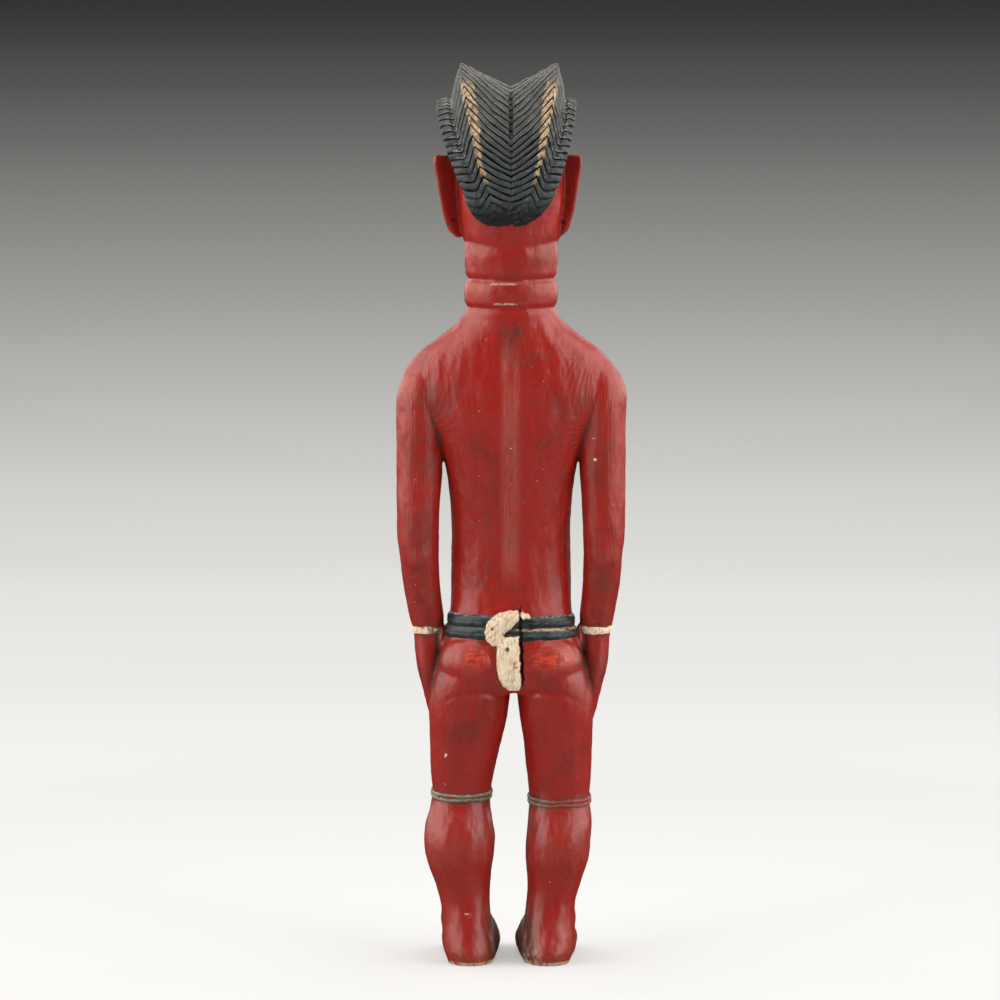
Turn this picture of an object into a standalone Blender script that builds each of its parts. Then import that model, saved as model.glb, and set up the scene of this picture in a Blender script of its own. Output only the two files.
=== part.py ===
"""Standing spirit spouse figure, carved from one block of wood and painted.

Metres, +Z up. The figure faces -Y and its own left hand is at +X. The origin is on the
ground, under the middle of the figure's box. Body and limbs are roughed out as lofts
that overlap, fused into one skin, carved by the relief functions and thinned out. Hair,
belt, cloth, bracelets and garters are crisper forms that a union then adds to the body.
"""

import math

import bmesh
import bpy
import numpy as np
from mathutils import Matrix, Vector

# Driving sizes, in metres.
HEIGHT = 0.450            # ground to the tips of the high hair crests
BELT_CORD = 0.0064        # thickness of each of the two belt cords
BELT_PROUD = 0.0021       # how far a belt cord stands out of the waist
GARTER_CORD = 0.0027      # thickness of each cord of the knee garters
GARTER_PROUD = 0.0012     # how far a garter cord stands out of the leg
BRACELET_WIDTH = 0.0058   # height of the band round each wrist
BRACELET_PROUD = 0.0013   # how far the band stands out of the wrist
LOCK_PITCH = 0.0042       # from one lock of hair to the next along a crest
LOCK_DEPTH = 0.0011       # depth of the cut between two locks
FURROW_DEPTH = 0.0013     # depth of the furrow down the back
FINGER_DEPTH = 0.0010     # depth of the cuts between the fingers
TOE_DEPTH = 0.0014        # depth of the cuts between the toes
GRAIN = 0.0009            # cell size of the fused skin
BODY_FACES = 4100         # triangles of body and limbs

# The carver's unit: the forms below are in 450ths of the height.
UNIT = HEIGHT / 450
SOLE_SINK = 3.0           # how far the rough feet reach below the ground before the cut
RING_POINTS = 44          # points round one level of a limb
CORD_POINTS = 18          # points along a cord round a limb
BELT_POINTS = 30          # points along a cord of the belt
SHARP_ANGLE = math.radians(40)

# Rows of the trunk: height, half width, front, back, squareness of the section.
TRUNK = (
    (134, 34.0, -14.0, 17.0, 2.2),
    (141, 38.4, -17.0, 20.5, 2.3),
    (150, 37.2, -18.5, 21.5, 2.3),
    (158, 35.2, -19.5, 20.5, 2.3),
    (165, 32.8, -20.5, 19.0, 2.3),
    (172, 31.0, -21.5, 17.5, 2.3),
    (180, 30.2, -23.0, 15.8, 2.3),
    (192, 30.0, -24.6, 14.6, 2.3),
    (206, 29.8, -24.8, 14.4, 2.3),
    (222, 29.7, -23.2, 15.6, 2.3),
    (236, 30.8, -21.8, 17.2, 2.3),
    (247, 32.3, -21.4, 18.6, 2.3),
    (257, 35.0, -21.6, 19.8, 2.3),
    (266, 40.0, -22.0, 20.6, 2.2),
    (275, 48.0, -22.0, 21.0, 2.1),
    (283, 54.0, -21.2, 20.8, 2.0),
    (291, 54.3, -19.8, 20.2, 2.0),
    (299, 51.2, -18.2, 19.4, 2.0),
    (307, 44.2, -17.4, 18.6, 2.0),
    (313, 37.0, -17.2, 18.0, 2.0),
    (319, 29.0, -17.6, 17.6, 2.0),
    (325, 23.4, -18.5, 17.6, 2.0),
)

# Rows of the neck with its one ring between two grooves, same columns as the trunk.
NECK = (
    (312, 25.0, -17.0, 16.5, 2.0),
    (322, 23.4, -18.5, 17.5, 2.1),
    (327, 22.8, -18.8, 17.7, 2.1),
    (329.3, 21.6, -18.0, 17.0, 2.1),
    (331, 22.8, -19.2, 18.2, 2.2),
    (334, 23.3, -19.7, 18.8, 2.2),
    (339, 23.3, -19.7, 18.8, 2.2),
    (341.5, 22.6, -19.2, 18.2, 2.2),
    (343.2, 21.0, -18.0, 17.0, 2.1),
    (345, 22.4, -19.2, 18.0, 2.1),
    (349, 23.0, -19.6, 18.6, 2.1),
    (358, 23.3, -20.0, 19.0, 2.1),
    (368, 24.0, -20.0, 20.0, 2.1),
)

# Rows of the head from the chin to the crown, same columns as the trunk.
HEAD = (
    (345, 9.0, -24.5, -6.0, 2.2),
    (348.5, 13.5, -27.6, 4.0, 2.2),
    (354, 18.5, -28.6, 12.0, 2.2),
    (362, 22.8, -28.6, 17.5, 2.2),
    (372, 25.6, -28.0, 20.2, 2.2),
    (384, 26.8, -27.2, 22.8, 2.2),
    (396, 26.8, -27.2, 23.0, 2.2),
    (406, 25.8, -26.6, 21.5, 2.2),
    (414, 23.2, -23.5, 18.0, 2.1),
    (420, 17.5, -17.5, 12.0, 2.0),
    (423, 8.0, -9.0, 4.0, 2.0),
)

# Rows of an arm and its hand: height, middle from the centre line, half width, middle
# front to back, half depth, squareness.
ARM = (
    (305, 39.0, 2.0, 0.0, 3.0, 2.0),
    (302, 40.6, 5.4, 0.0, 7.0, 2.0),
    (296, 43.2, 9.2, 0.2, 11.0, 2.0),
    (287, 45.0, 11.5, 0.5, 12.8, 2.0),
    (276, 45.6, 11.6, 1.0, 13.0, 2.0),
    (262, 45.7, 11.5, 1.5, 12.6, 2.1),
    (246, 45.7, 11.4, 2.0, 12.0, 2.1),
    (230, 46.3, 10.8, 2.5, 11.6, 2.1),
    (215, 46.4, 10.3, 2.5, 11.2, 2.1),
    (203, 45.7, 9.7, 1.5, 10.9, 2.1),
    (190, 44.7, 9.2, 0.0, 10.4, 2.1),
    (180, 43.3, 8.8, -1.5, 9.9, 2.1),
    (172, 42.1, 8.4, -2.7, 9.3, 2.1),
    (165, 41.5, 7.2, -3.5, 8.8, 2.2),
    (157, 41.7, 6.4, -4.5, 9.8, 2.3),
    (148, 41.1, 5.9, -5.2, 10.7, 2.4),
    (140, 39.7, 5.4, -6.0, 10.5, 2.4),
    (131, 38.1, 4.9, -6.8, 9.4, 2.4),
    (124, 36.9, 4.3, -7.4, 8.0, 2.3),
    (119.5, 36.2, 3.2, -7.8, 5.6, 2.2),
    (117.5, 36.0, 1.6, -7.9, 3.0, 2.0),
)
WRIST = 167.2             # height of the bracelets
RIGHT_ARM_OUT = 0.9       # how much further out the right hand hangs

# Rows of a leg: height, outer side, inner side, front, back, squareness. The carver
# gave the left leg the rounder calf and set the right foot further in.
LEFT_LEG = (
    (154, 35.0, 3.0, -16.0, 19.0, 2.2),
    (142, 38.6, 1.0, -17.5, 20.5, 2.3),
    (130, 40.8, 0.6, -18.0, 19.6, 2.3),
    (122, 41.0, 2.0, -18.5, 18.0, 2.3),
    (114, 40.7, 4.0, -19.0, 16.0, 2.3),
    (106, 40.6, 6.0, -19.5, 14.2, 2.3),
    (98, 40.4, 7.6, -20.2, 12.6, 2.3),
    (90, 39.8, 9.4, -20.8, 11.4, 2.3),
    (83, 39.3, 10.3, -21.0, 10.8, 2.3),
    (77.5, 40.2, 10.4, -20.5, 12.0, 2.3),
    (70, 42.4, 9.2, -18.6, 15.4, 2.3),
    (62, 43.5, 8.2, -16.6, 17.8, 2.2),
    (53.5, 42.9, 8.6, -14.8, 18.2, 2.2),
    (45.5, 40.4, 9.9, -13.2, 17.0, 2.2),
    (37.5, 37.5, 10.5, -11.8, 15.8, 2.2),
    (29.5, 35.3, 10.6, -11.0, 15.8, 2.2),
    (21, 34.3, 9.8, -11.5, 17.8, 2.2),
    (12, 34.2, 8.8, -12.0, 21.0, 2.2),
    (5, 33.0, 8.8, -12.0, 23.4, 2.3),
    (-SOLE_SINK, 30.4, 10.2, -12.0, 22.6, 2.3),
)
RIGHT_LEG = (
    (154, 35.0, 3.0, -16.0, 19.0, 2.2),
    (142, 38.8, 3.0, -17.5, 20.5, 2.3),
    (130, 41.0, 3.4, -18.0, 19.6, 2.3),
    (122, 41.2, 4.6, -18.5, 18.0, 2.3),
    (114, 40.9, 6.0, -19.0, 16.0, 2.3),
    (106, 40.5, 7.0, -19.5, 14.2, 2.3),
    (98, 40.4, 7.8, -20.2, 12.6, 2.3),
    (90, 40.0, 8.5, -20.8, 11.6, 2.3),
    (81, 39.4, 9.2, -21.0, 11.0, 2.3),
    (76, 40.0, 9.0, -20.4, 12.4, 2.3),
    (69, 40.4, 8.5, -18.4, 15.6, 2.3),
    (61, 40.1, 7.6, -16.4, 17.6, 2.2),
    (53.5, 39.3, 7.5, -14.8, 17.8, 2.2),
    (45.5, 37.0, 8.0, -13.2, 16.8, 2.2),
    (37.5, 34.6, 8.4, -11.8, 15.6, 2.2),
    (29.5, 32.4, 7.8, -11.0, 15.8, 2.2),
    (21, 31.8, 6.8, -11.5, 17.8, 2.2),
    (12, 32.0, 6.2, -12.0, 21.0, 2.2),
    (5, 31.0, 6.6, -12.0, 23.4, 2.3),
    (-SOLE_SINK, 28.4, 8.2, -12.0, 22.6, 2.3),
)

# Rows of a foot from inside the heel to the toes: front to back, outer side, inner
# side, height.
LEFT_FOOT = (
    (13.0, 31.5, 10.0, 15.0),
    (2.0, 32.5, 9.0, 20.0),
    (-9.0, 33.8, 7.6, 19.0),
    (-18.0, 34.6, 6.2, 14.6),
    (-27.0, 34.8, 5.6, 11.4),
    (-35.0, 34.0, 5.8, 9.6),
    (-41.0, 31.5, 7.6, 8.0),
    (-44.5, 28.0, 11.0, 5.6),
    (-46.0, 24.5, 15.0, 3.0),
)
RIGHT_FOOT = (
    (13.0, 29.5, 8.0, 15.0),
    (2.0, 30.8, 6.6, 20.0),
    (-9.0, 32.2, 4.8, 19.0),
    (-18.0, 33.2, 3.2, 14.6),
    (-27.0, 33.4, 2.4, 11.4),
    (-35.0, 32.6, 2.6, 9.6),
    (-41.0, 30.2, 4.6, 8.0),
    (-44.5, 26.4, 8.0, 5.6),
    (-46.0, 23.0, 12.0, 3.0),
)
TOE_CUTS = (0.34, 0.53, 0.70, 0.86)   # cuts between the toes, as shares from inside out
TOE_START = -33.0                     # where the cuts between the toes begin

# Rows of an ear, a flat plate that leans out from the head: height, attached edge
# (out, back), free edge (out, back), thickness.
EAR = (
    (363.5, 25.5, 0.0, 27.0, 1.5, 2.4),
    (366.5, 25.0, -1.0, 30.2, 3.4, 3.4),
    (372.0, 25.0, -2.0, 32.6, 5.0, 3.6),
    (382.0, 25.0, -3.0, 34.9, 6.4, 3.6),
    (393.0, 25.0, -3.0, 36.7, 7.4, 3.6),
    (401.5, 25.0, -3.0, 38.0, 7.8, 3.6),
    (404.6, 25.5, -2.4, 37.8, 7.4, 3.0),
)

# The hair is a fan of sections round a cross axis through the head. Each row is the
# angle from straight ahead, then distance across and height of: the middle valley, the
# high crest, the foot of its outer flank, the low side crest, its outer shoulder and
# the outer edge against the head.
HAIR_AXIS = (-3.0, 388.0)
HAIR = (
    (36, 30.4, 11.5, 30.8, 16.5, 30.0, 18.5, 29.8, 23.0, 27.2, 21.0, 14.0),
    (45, 34.6, 14.0, 37.0, 19.5, 33.4, 21.5, 34.0, 27.5, 31.4, 23.0, 15.0),
    (56, 42.0, 19.0, 47.5, 24.5, 38.0, 26.5, 39.5, 32.4, 37.0, 25.0, 17.0),
    (72, 48.0, 23.2, 58.5, 28.8, 42.0, 30.6, 44.0, 36.8, 42.0, 26.0, 19.0),
    (90, 50.8, 24.9, 62.6, 30.0, 43.0, 31.6, 45.0, 37.9, 43.0, 26.5, 20.0),
    (105, 48.6, 24.6, 60.6, 29.8, 41.0, 31.4, 42.6, 37.6, 40.6, 26.5, 19.0),
    (120, 43.4, 22.4, 52.6, 28.3, 37.0, 30.0, 38.6, 36.0, 36.6, 26.5, 18.0),
    (135, 37.8, 20.0, 45.0, 25.6, 33.4, 27.4, 34.4, 33.3, 32.4, 26.0, 17.0),
    (150, 32.8, 17.3, 37.4, 22.4, 30.4, 24.4, 31.0, 30.2, 28.6, 25.0, 16.0),
    (165, 29.6, 14.0, 31.8, 18.8, 28.6, 20.8, 28.8, 26.8, 26.2, 23.5, 14.0),
    (180, 28.0, 10.4, 29.0, 15.0, 27.6, 17.0, 27.6, 22.8, 25.2, 21.0, 12.0),
    (205, 28.4, 6.0, 28.8, 9.0, 28.3, 11.0, 28.0, 14.8, 27.0, 12.0, 12.0),
    (213, 29.0, 4.4, 29.2, 7.0, 29.0, 8.5, 28.8, 10.8, 28.4, 9.0, 12.0),
)
CHEVRON_SLOPE = 0.55      # how steeply the locks fall from a high crest to the middle
FLANK_SLOPE = 1.25        # how steeply they fall on the outer flank
LEVEL_FRONT = 42.0        # stretch behind the forehead over which the slant sets in
LEVEL_NAPE = 16.0         # stretch before the nape over which it fades

# Belt, knot and tail of the waist cloth.
BELT_HEIGHTS = (172.6, 166.6)         # of the two cords at the left side
BELT_FALL = 1.2                       # how much lower the right side hangs
# Points of the knotted end: out to the left, height, share of its thickness.
KNOT = (
    (-8.0, 174.8, 0.50),
    (-4.2, 174.8, 0.75),
    (0.6, 173.2, 1.00),
    (4.8, 170.4, 1.15),
    (6.6, 167.4, 1.10),
    (6.0, 164.8, 0.80),
)
KNOT_THICK = 0.0108
KNOT_BACK = 16.8                      # how far back the middle of the knot lies

# Rows of the cloth's tail behind and of its flap in front: height, middle, half width,
# front, back, squareness.
TAIL = (
    (165.5, 1.6, 6.0, 12.0, 22.8, 2.8),
    (161.0, 1.5, 6.5, 12.0, 24.2, 3.0),
    (152.0, 0.7, 6.5, 12.0, 24.8, 3.0),
    (145.0, -0.3, 6.2, 12.0, 24.2, 3.0),
    (139.0, -1.3, 5.4, 10.0, 22.4, 2.8),
    (136.2, -1.6, 3.8, 8.0, 20.4, 2.4),
)
FLAP = (
    (171.0, 0.0, 13.0, -24.4, -14.0, 3.0),
    (163.0, 0.0, 13.6, -25.2, -14.0, 3.2),
    (150.0, 0.0, 12.6, -24.6, -14.0, 3.2),
    (138.0, 0.0, 11.6, -23.6, -13.0, 3.2),
    (129.0, 0.0, 10.8, -22.6, -13.0, 3.0),
    (126.8, 0.0, 9.6, -21.6, -14.0, 2.6),
)

# Each buttock and thumb is an ellipsoid: out, back, height, then its three radii.
BUTTOCK = (17.6, 9.5, 150.5, 16.6, 14.4, 13.0)
THUMB = (41.2, -13.8, 146.5, 3.4, 3.4, 10.0)

# Swellings of the face and of the front: out from the middle, height, reach across,
# reach up, and how far each stands out.
FACE = (
    (9.0, 391.0, 8.5, 2.4, 1.5),
    (10.4, 383.4, 7.2, 5.0, -2.2),
    (10.6, 382.2, 4.8, 2.8, 2.2),
    (3.6, 370.8, 2.2, 2.2, 2.0),
    (0.0, 362.2, 6.0, 1.7, 2.4),
    (0.0, 358.4, 5.4, 1.8, 2.5),
    (0.0, 351.4, 7.0, 3.6, 1.4),
)
FRONT = (
    (15.0, 276.0, 10.0, 9.0, 1.6),
    (15.5, 272.0, 2.2, 2.2, 1.3),
    (0.0, 200.0, 17.0, 20.0, 1.6),
    (0.0, 197.0, 2.6, 2.6, 2.4),
)
NOSE_ROOT = 391.0
NOSE_TIP = 369.0
LID_OUT = 10.6            # middle of an eye from the centre line
LID_LINE = 380.9          # height of the line between the closed lids
MOUTH = 360.4             # height of the line between the lips

# Garters: heights of the two cords of each, and how far they dip behind the knee.
LEFT_GARTER = (82.6, 79.8)
RIGHT_GARTER = (80.6, 77.8)
GARTER_DIP = 0.7

# Finishes: colour, roughness, metallic.
FINISHES = {
    "red_paint": ((0.30, 0.020, 0.014, 1.0), 0.38, 0.0),
    "hair_black": ((0.030, 0.036, 0.042, 1.0), 0.48, 0.0),
    "belt_blue_black": ((0.028, 0.044, 0.055, 1.0), 0.45, 0.0),
    "cloth_cream": ((0.66, 0.52, 0.34, 1.0), 0.62, 0.0),
    "garter_brown": ((0.16, 0.12, 0.09, 1.0), 0.58, 0.0),
}
RED, BLACK, BELT, CREAM, BROWN = range(5)


def clear_scene():
    """Remove every object that the file opened with."""
    for item in list(bpy.data.objects):
        bpy.data.objects.remove(item)


def new_collection(name):
    """Make a collection in the scene, and give it back."""
    collection = bpy.data.collections.new(name)
    bpy.context.scene.collection.children.link(collection)
    return collection


def read_rows(rows, at):
    """Read a table of rows at other positions, on a smooth curve through them."""
    table = np.array(sorted(rows), dtype=float)
    where = table[:, 0]
    values = table[:, 1:]
    slopes = np.gradient(values, where, axis=0)
    at = np.clip(np.asarray(at, dtype=float), where[0], where[-1])
    left = np.clip(np.searchsorted(where, at) - 1, 0, len(where) - 2)
    gap = (where[left + 1] - where[left])[..., None]
    t = (at - where[left])[..., None] / gap
    start = values[left] * (2 * t**3 - 3 * t**2 + 1) + slopes[left] * gap * (t**3 - 2 * t**2 + t)
    end = values[left + 1] * (3 * t**2 - 2 * t**3) + slopes[left + 1] * gap * (t**3 - t**2)
    return start + end


def oval(half_x, half_y, squareness, points=RING_POINTS):
    """Give the x and y of a ring between an ellipse and a box."""
    turn = np.linspace(0.0, 2 * math.pi, points, endpoint=False)
    power = 2.0 / squareness
    x = half_x * np.sign(np.cos(turn)) * np.abs(np.cos(turn)) ** power
    y = half_y * np.sign(np.sin(turn)) * np.abs(np.sin(turn)) ** power
    return x, y


def loft(name, rings, finish=RED):
    """Skin a stack of rings, given in units, and cap both ends."""
    skin = bmesh.new()
    stack = [[skin.verts.new(point) for point in ring] for ring in np.asarray(rings) * UNIT]
    for lower, upper in zip(stack, stack[1:]):
        for i, corner in enumerate(lower):
            j = (i + 1) % len(lower)
            skin.faces.new((corner, lower[j], upper[j], upper[i]))
    skin.faces.new(stack[0])
    skin.faces.new(stack[-1])
    return finished_form(name, skin, finish)


def finished_form(name, skin, finish):
    """Turn a closed bmesh into an object with its faces out and its finish on."""
    bmesh.ops.recalc_face_normals(skin, faces=skin.faces)
    for face in skin.faces:
        face.material_index = finish
    mesh = bpy.data.meshes.new(name)
    skin.to_mesh(mesh)
    skin.free()
    for label in FINISHES:
        mesh.materials.append(bpy.data.materials[label])
    shape = bpy.data.objects.new(name, mesh)
    bpy.context.scene.collection.objects.link(shape)
    return shape


def levels_of(rows, step=2.0):
    """Give evenly spaced positions along a table of rows."""
    ends = [row[0] for row in rows]
    count = max(3, int((max(ends) - min(ends)) / step))
    return np.linspace(min(ends), max(ends), count)


def trunk_form(name, rows):
    """Loft a form that is centred on the middle of the body."""
    rings = []
    for z in levels_of(rows):
        half, front, back, squareness = read_rows(rows, z)
        x, y = oval(half, (back - front) / 2, squareness)
        rings.append(np.column_stack((x, y + (front + back) / 2, np.full_like(x, z))))
    return loft(name, rings)


def arm_form(name, side):
    """Loft an arm with its hand, side 1 for the left and -1 for the right."""
    rings = []
    for z in levels_of(ARM):
        middle, half, y_middle, depth, squareness = read_rows(ARM, z)
        x, y = oval(half, depth, squareness)
        x = side * (x + middle + arm_lean(side, z))
        rings.append(np.column_stack((x, y + y_middle, np.full_like(x, z))))
    return loft(name, rings)


def arm_lean(side, z):
    """Tell how far the right arm swings out at a height, from the elbow down."""
    top = 215.0
    return RIGHT_ARM_OUT * (side < 0) * np.clip((top - z) / (top - WRIST), 0.0, 1.3)


def leg_rows(side):
    """Give the rows of the left leg for side 1 and of the right for side -1."""
    return LEFT_LEG if side > 0 else RIGHT_LEG


def leg_ring(side, z, out=0.0, points=RING_POINTS):
    """Give one level of a leg, or a ring that much further out."""
    outer, inner, front, back, squareness = read_rows(leg_rows(side), z)
    x, y = oval((outer - inner) / 2 + out, (back - front) / 2 + out, squareness, points)
    return np.column_stack((side * (x + (outer + inner) / 2), y + (front + back) / 2, np.full_like(x, z)))


def leg_form(name, side):
    """Loft a leg from the hip to below the heel."""
    return loft(name, [leg_ring(side, z) for z in levels_of(leg_rows(side))])


def foot_form(name, side):
    """Loft a foot from the heel to the toes, flat below."""
    rows = LEFT_FOOT if side > 0 else RIGHT_FOOT
    rings = []
    for y in levels_of(rows, 1.5):
        outer, inner, height = read_rows(rows, y)
        x, z = oval((outer - inner) / 2, 1.0, 2.3)
        z = np.where(z > 0, z * height, np.maximum(z * 3.0, -1.0) * SOLE_SINK)
        rings.append(np.column_stack((side * (x + (outer + inner) / 2), np.full_like(x, y), z)))
    return loft(name, rings)


def ear_form(name, side):
    """Loft the flat plate of an ear."""
    rings = []
    for z in levels_of(EAR, 1.5):
        x_in, y_in, x_out, y_out, thick = read_rows(EAR, z)
        length = math.hypot(x_out - x_in, y_out - y_in)
        along, across = oval(length / 2, thick / 2, 3.0, 24)
        c, s = (x_out - x_in) / length, (y_out - y_in) / length
        x = (x_in + x_out) / 2 + along * c - across * s
        y = (y_in + y_out) / 2 + along * s + across * c
        rings.append(np.column_stack((side * x, y, np.full_like(x, z))))
    return loft(name, rings)


def plate_form(name, rows):
    """Loft a piece of cloth that lies on the body."""
    rings = []
    for z in levels_of(rows, 4.5):
        middle, half, front, back, squareness = read_rows(rows, z)
        x, y = oval(half, (back - front) / 2, squareness, CORD_POINTS)
        rings.append(np.column_stack((x + middle, y + (front + back) / 2, np.full_like(x, z))))
    return loft(name, rings, CREAM)


def hair_columns(angle):
    """Give the half section of the hair at an angle in degrees, as x and radius."""
    row = read_rows(HAIR, angle)
    valley = row[0]
    crest, foot, side_crest, shoulder, edge = row[1:].reshape(5, 2)
    middle = (crest[0] * 0.5, (valley + crest[1]) * 0.5)
    flank = (crest + foot) / 2 + (0.6, 0.0)
    return np.array([(0.0, valley), middle, crest, flank, foot, side_crest, shoulder, edge])


# Which way each column of the half section is cut between two locks: across, and
# square to the run of the hair.
CUT_WAYS = np.array([(0, 1), (0.3, 1), (0.3, 0.6), (1, 0.3), (0.3, 0.5), (0, 1), (0.7, 0.7), (0, 0)])


def hair_run():
    """Give angles from forehead to nape and the length of the valley up to each."""
    angles = np.linspace(HAIR[0][0], HAIR[-1][0], 200)
    turn = np.radians(angles)
    radius = read_rows(HAIR, angles)[:, 0]
    run = np.hypot(np.diff(radius * np.cos(turn)), np.diff(radius * np.sin(turn)))
    return angles, np.concatenate(([0.0], np.cumsum(run)))


def hair_form(name):
    """Loft the hair from forehead to nape, two rings to a lock, each slanted along the locks."""
    angles, run = hair_run()
    locks = int(run[-1] * UNIT / LOCK_PITCH)
    rings = []
    for place in range(2 * locks + 1):
        along = run[-1] * place / (2 * locks)
        columns = hair_columns(np.interp(along, run, angles))
        fade = min(1.0, along / LEVEL_FRONT, (run[-1] - along) / LEVEL_NAPE)
        crest, foot = columns[2, 0], columns[4, 0]
        out = columns[:, 0]
        slant = np.where(out < crest, CHEVRON_SLOPE * (crest - out), 0.0)
        slant = np.where(out > crest, FLANK_SLOPE * (np.minimum(out, foot) - crest), slant)
        slant[-1] = slant[-2]
        spots = np.clip(along + slant * fade, 0.0, run[-1])
        depth = (place % 2) * LOCK_DEPTH / UNIT
        ring = []
        for i, spot in enumerate(spots):
            angle = np.interp(spot, run, angles)
            behind, ahead = hair_spot(angle - 1.0, i), hair_spot(angle + 1.0, i)
            level = np.array((0.0, behind[2] - ahead[2], ahead[1] - behind[1]))
            level /= np.linalg.norm(level)
            across, inward = CUT_WAYS[i]
            ring.append(hair_spot(angle, i) - depth * (inward * level + (across, 0.0, 0.0)))
        rings.append(ring + [spot * (-1, 1, 1) for spot in ring[:0:-1]])
    return loft(name, rings, BLACK)


def hair_spot(angle, column):
    """Give the place of one column of the hair at an angle in degrees."""
    x, radius = hair_columns(angle)[column]
    turn = math.radians(angle)
    return np.array((x, HAIR_AXIS[0] - radius * math.cos(turn), HAIR_AXIS[1] + radius * math.sin(turn)))


def cord(name, points, thickness, finish, shares=None, sides=8):
    """Run a round cord through points given in units, closed unless it has thickness shares."""
    curve = bpy.data.curves.new(name, "CURVE")
    curve.dimensions = "3D"
    curve.bevel_depth = thickness / 2
    curve.bevel_resolution = sides // 2 - 2
    curve.use_fill_caps = True
    line = curve.splines.new("POLY")
    line.points.add(len(points) - 1)
    for i, place in enumerate(np.asarray(points) * UNIT):
        line.points[i].co = (*place, 1.0)
        line.points[i].radius = 1.0 if shares is None else shares[i]
    line.use_cyclic_u = shares is None
    guide = bpy.data.objects.new(name, curve)
    bpy.context.scene.collection.objects.link(guide)
    bpy.context.view_layer.update()
    tube = bpy.data.meshes.new_from_object(guide.evaluated_get(bpy.context.evaluated_depsgraph_get()))
    bpy.data.objects.remove(guide)
    skin = bmesh.new()
    skin.from_mesh(tube)
    bpy.data.meshes.remove(tube)
    bmesh.ops.remove_doubles(skin, verts=skin.verts, dist=0.00001)
    return finished_form(name, skin, finish)


def sunk(thickness, proud):
    """Tell how far a cord's middle lies from the surface it is cut on, in units."""
    return (proud - thickness / 2) / UNIT


def belt_height(x, height):
    """Give the height of a belt cord, which hangs lower on the right."""
    return height - BELT_FALL * (0.5 - x / 66.0)


def belt_cord(name, height):
    """Run one cord of the belt round the waist."""
    half, front, back, squareness = read_rows(TRUNK, height)
    out = sunk(BELT_CORD, BELT_PROUD)
    x, y = oval(half + out, (back - front) / 2 + out, squareness, BELT_POINTS)
    points = np.column_stack((x, y + (front + back) / 2, belt_height(x, height)))
    return cord(name, points, BELT_CORD, BELT)


def garter_cord(name, side, height):
    """Run one cord of a knee garter, which dips behind the knee."""
    ring = leg_ring(side, height, sunk(GARTER_CORD, GARTER_PROUD), CORD_POINTS)
    ring[:, 2] -= GARTER_DIP * np.clip(ring[:, 1] / 10.0, -1.0, 1.0)
    return cord(name, ring, GARTER_CORD, BROWN, sides=6)


def bracelet(name, side):
    """Run the band round a wrist."""
    middle, half, y_middle, depth, squareness = read_rows(ARM, WRIST)
    out = sunk(BRACELET_WIDTH, BRACELET_PROUD)
    x, y = oval(half + out, depth + out, squareness, CORD_POINTS)
    x = side * (x + middle + arm_lean(side, WRIST))
    return cord(name, np.column_stack((x, y + y_middle, np.full_like(x, WRIST))), BRACELET_WIDTH, CREAM)


def knot_form(name):
    """Run the knotted end of the cloth over the belt."""
    rows = [(place, *row) for place, row in enumerate(KNOT)]
    spots = read_rows(rows, np.linspace(0, len(KNOT) - 1, 2 * len(KNOT)))
    points = np.column_stack((spots[:, 0], np.full(len(spots), KNOT_BACK), spots[:, 1]))
    return cord(name, points, KNOT_THICK, CREAM, spots[:, 2])


def ball(name, centre, radii):
    """Add an ellipsoid, with its centre and radii in units."""
    shell = bmesh.new()
    bmesh.ops.create_uvsphere(shell, u_segments=28, v_segments=18, radius=1.0)
    bmesh.ops.scale(shell, vec=[r * UNIT for r in radii], verts=shell.verts)
    bmesh.ops.translate(shell, vec=[c * UNIT for c in centre], verts=shell.verts)
    return finished_form(name, shell, RED)


def body_forms():
    """Make the overlapping forms of body and limbs."""
    forms = [trunk_form("trunk", TRUNK), trunk_form("neck", NECK), trunk_form("head", HEAD)]
    for side in (1, -1):
        forms += [
            arm_form("arm", side),
            leg_form("leg", side),
            foot_form("foot", side),
            ear_form("ear", side),
            ball("buttock", (side * BUTTOCK[0], *BUTTOCK[1:3]), BUTTOCK[3:]),
            ball("thumb", (side * (THUMB[0] + arm_lean(side, THUMB[2])), *THUMB[1:3]), THUMB[3:]),
        ]
    return forms


def dress_forms():
    """Make hair, belt, cloth, bracelets and garters."""
    forms = [
        hair_form("hair"),
        plate_form("tail", TAIL),
        plate_form("flap", FLAP),
        knot_form("knot"),
    ]
    for height in BELT_HEIGHTS:
        forms.append(belt_cord("belt", height))
    for side, heights in ((1, LEFT_GARTER), (-1, RIGHT_GARTER)):
        forms.append(bracelet("bracelet", side))
        for height in heights:
            forms.append(garter_cord("garter", side, height))
    return forms


def fuse(forms, name):
    """Join the forms and grow one closed skin round them."""
    whole = bmesh.new()
    for form in forms:
        whole.from_mesh(form.data)
        bpy.data.objects.remove(form)
    figure = finished_form(name, whole, RED)
    skin = figure.modifiers.new("skin", "REMESH")
    skin.mode = "VOXEL"
    skin.voxel_size = GRAIN
    soften = figure.modifiers.new("soften", "SMOOTH")
    soften.factor = 0.5
    soften.iterations = 3
    settle(figure)
    return figure


def unite(figure, forms):
    """Make the forms one body with the figure."""
    operands = new_collection("operands")
    for form in forms:
        bpy.context.scene.collection.objects.unlink(form)
        operands.objects.link(form)
    union = figure.modifiers.new("union", "BOOLEAN")
    union.operation = "UNION"
    union.operand_type = "COLLECTION"
    union.collection = operands
    union.solver = "EXACT"
    settle(figure)
    for form in forms:
        bpy.data.objects.remove(form)
    bpy.data.collections.remove(operands)


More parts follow.
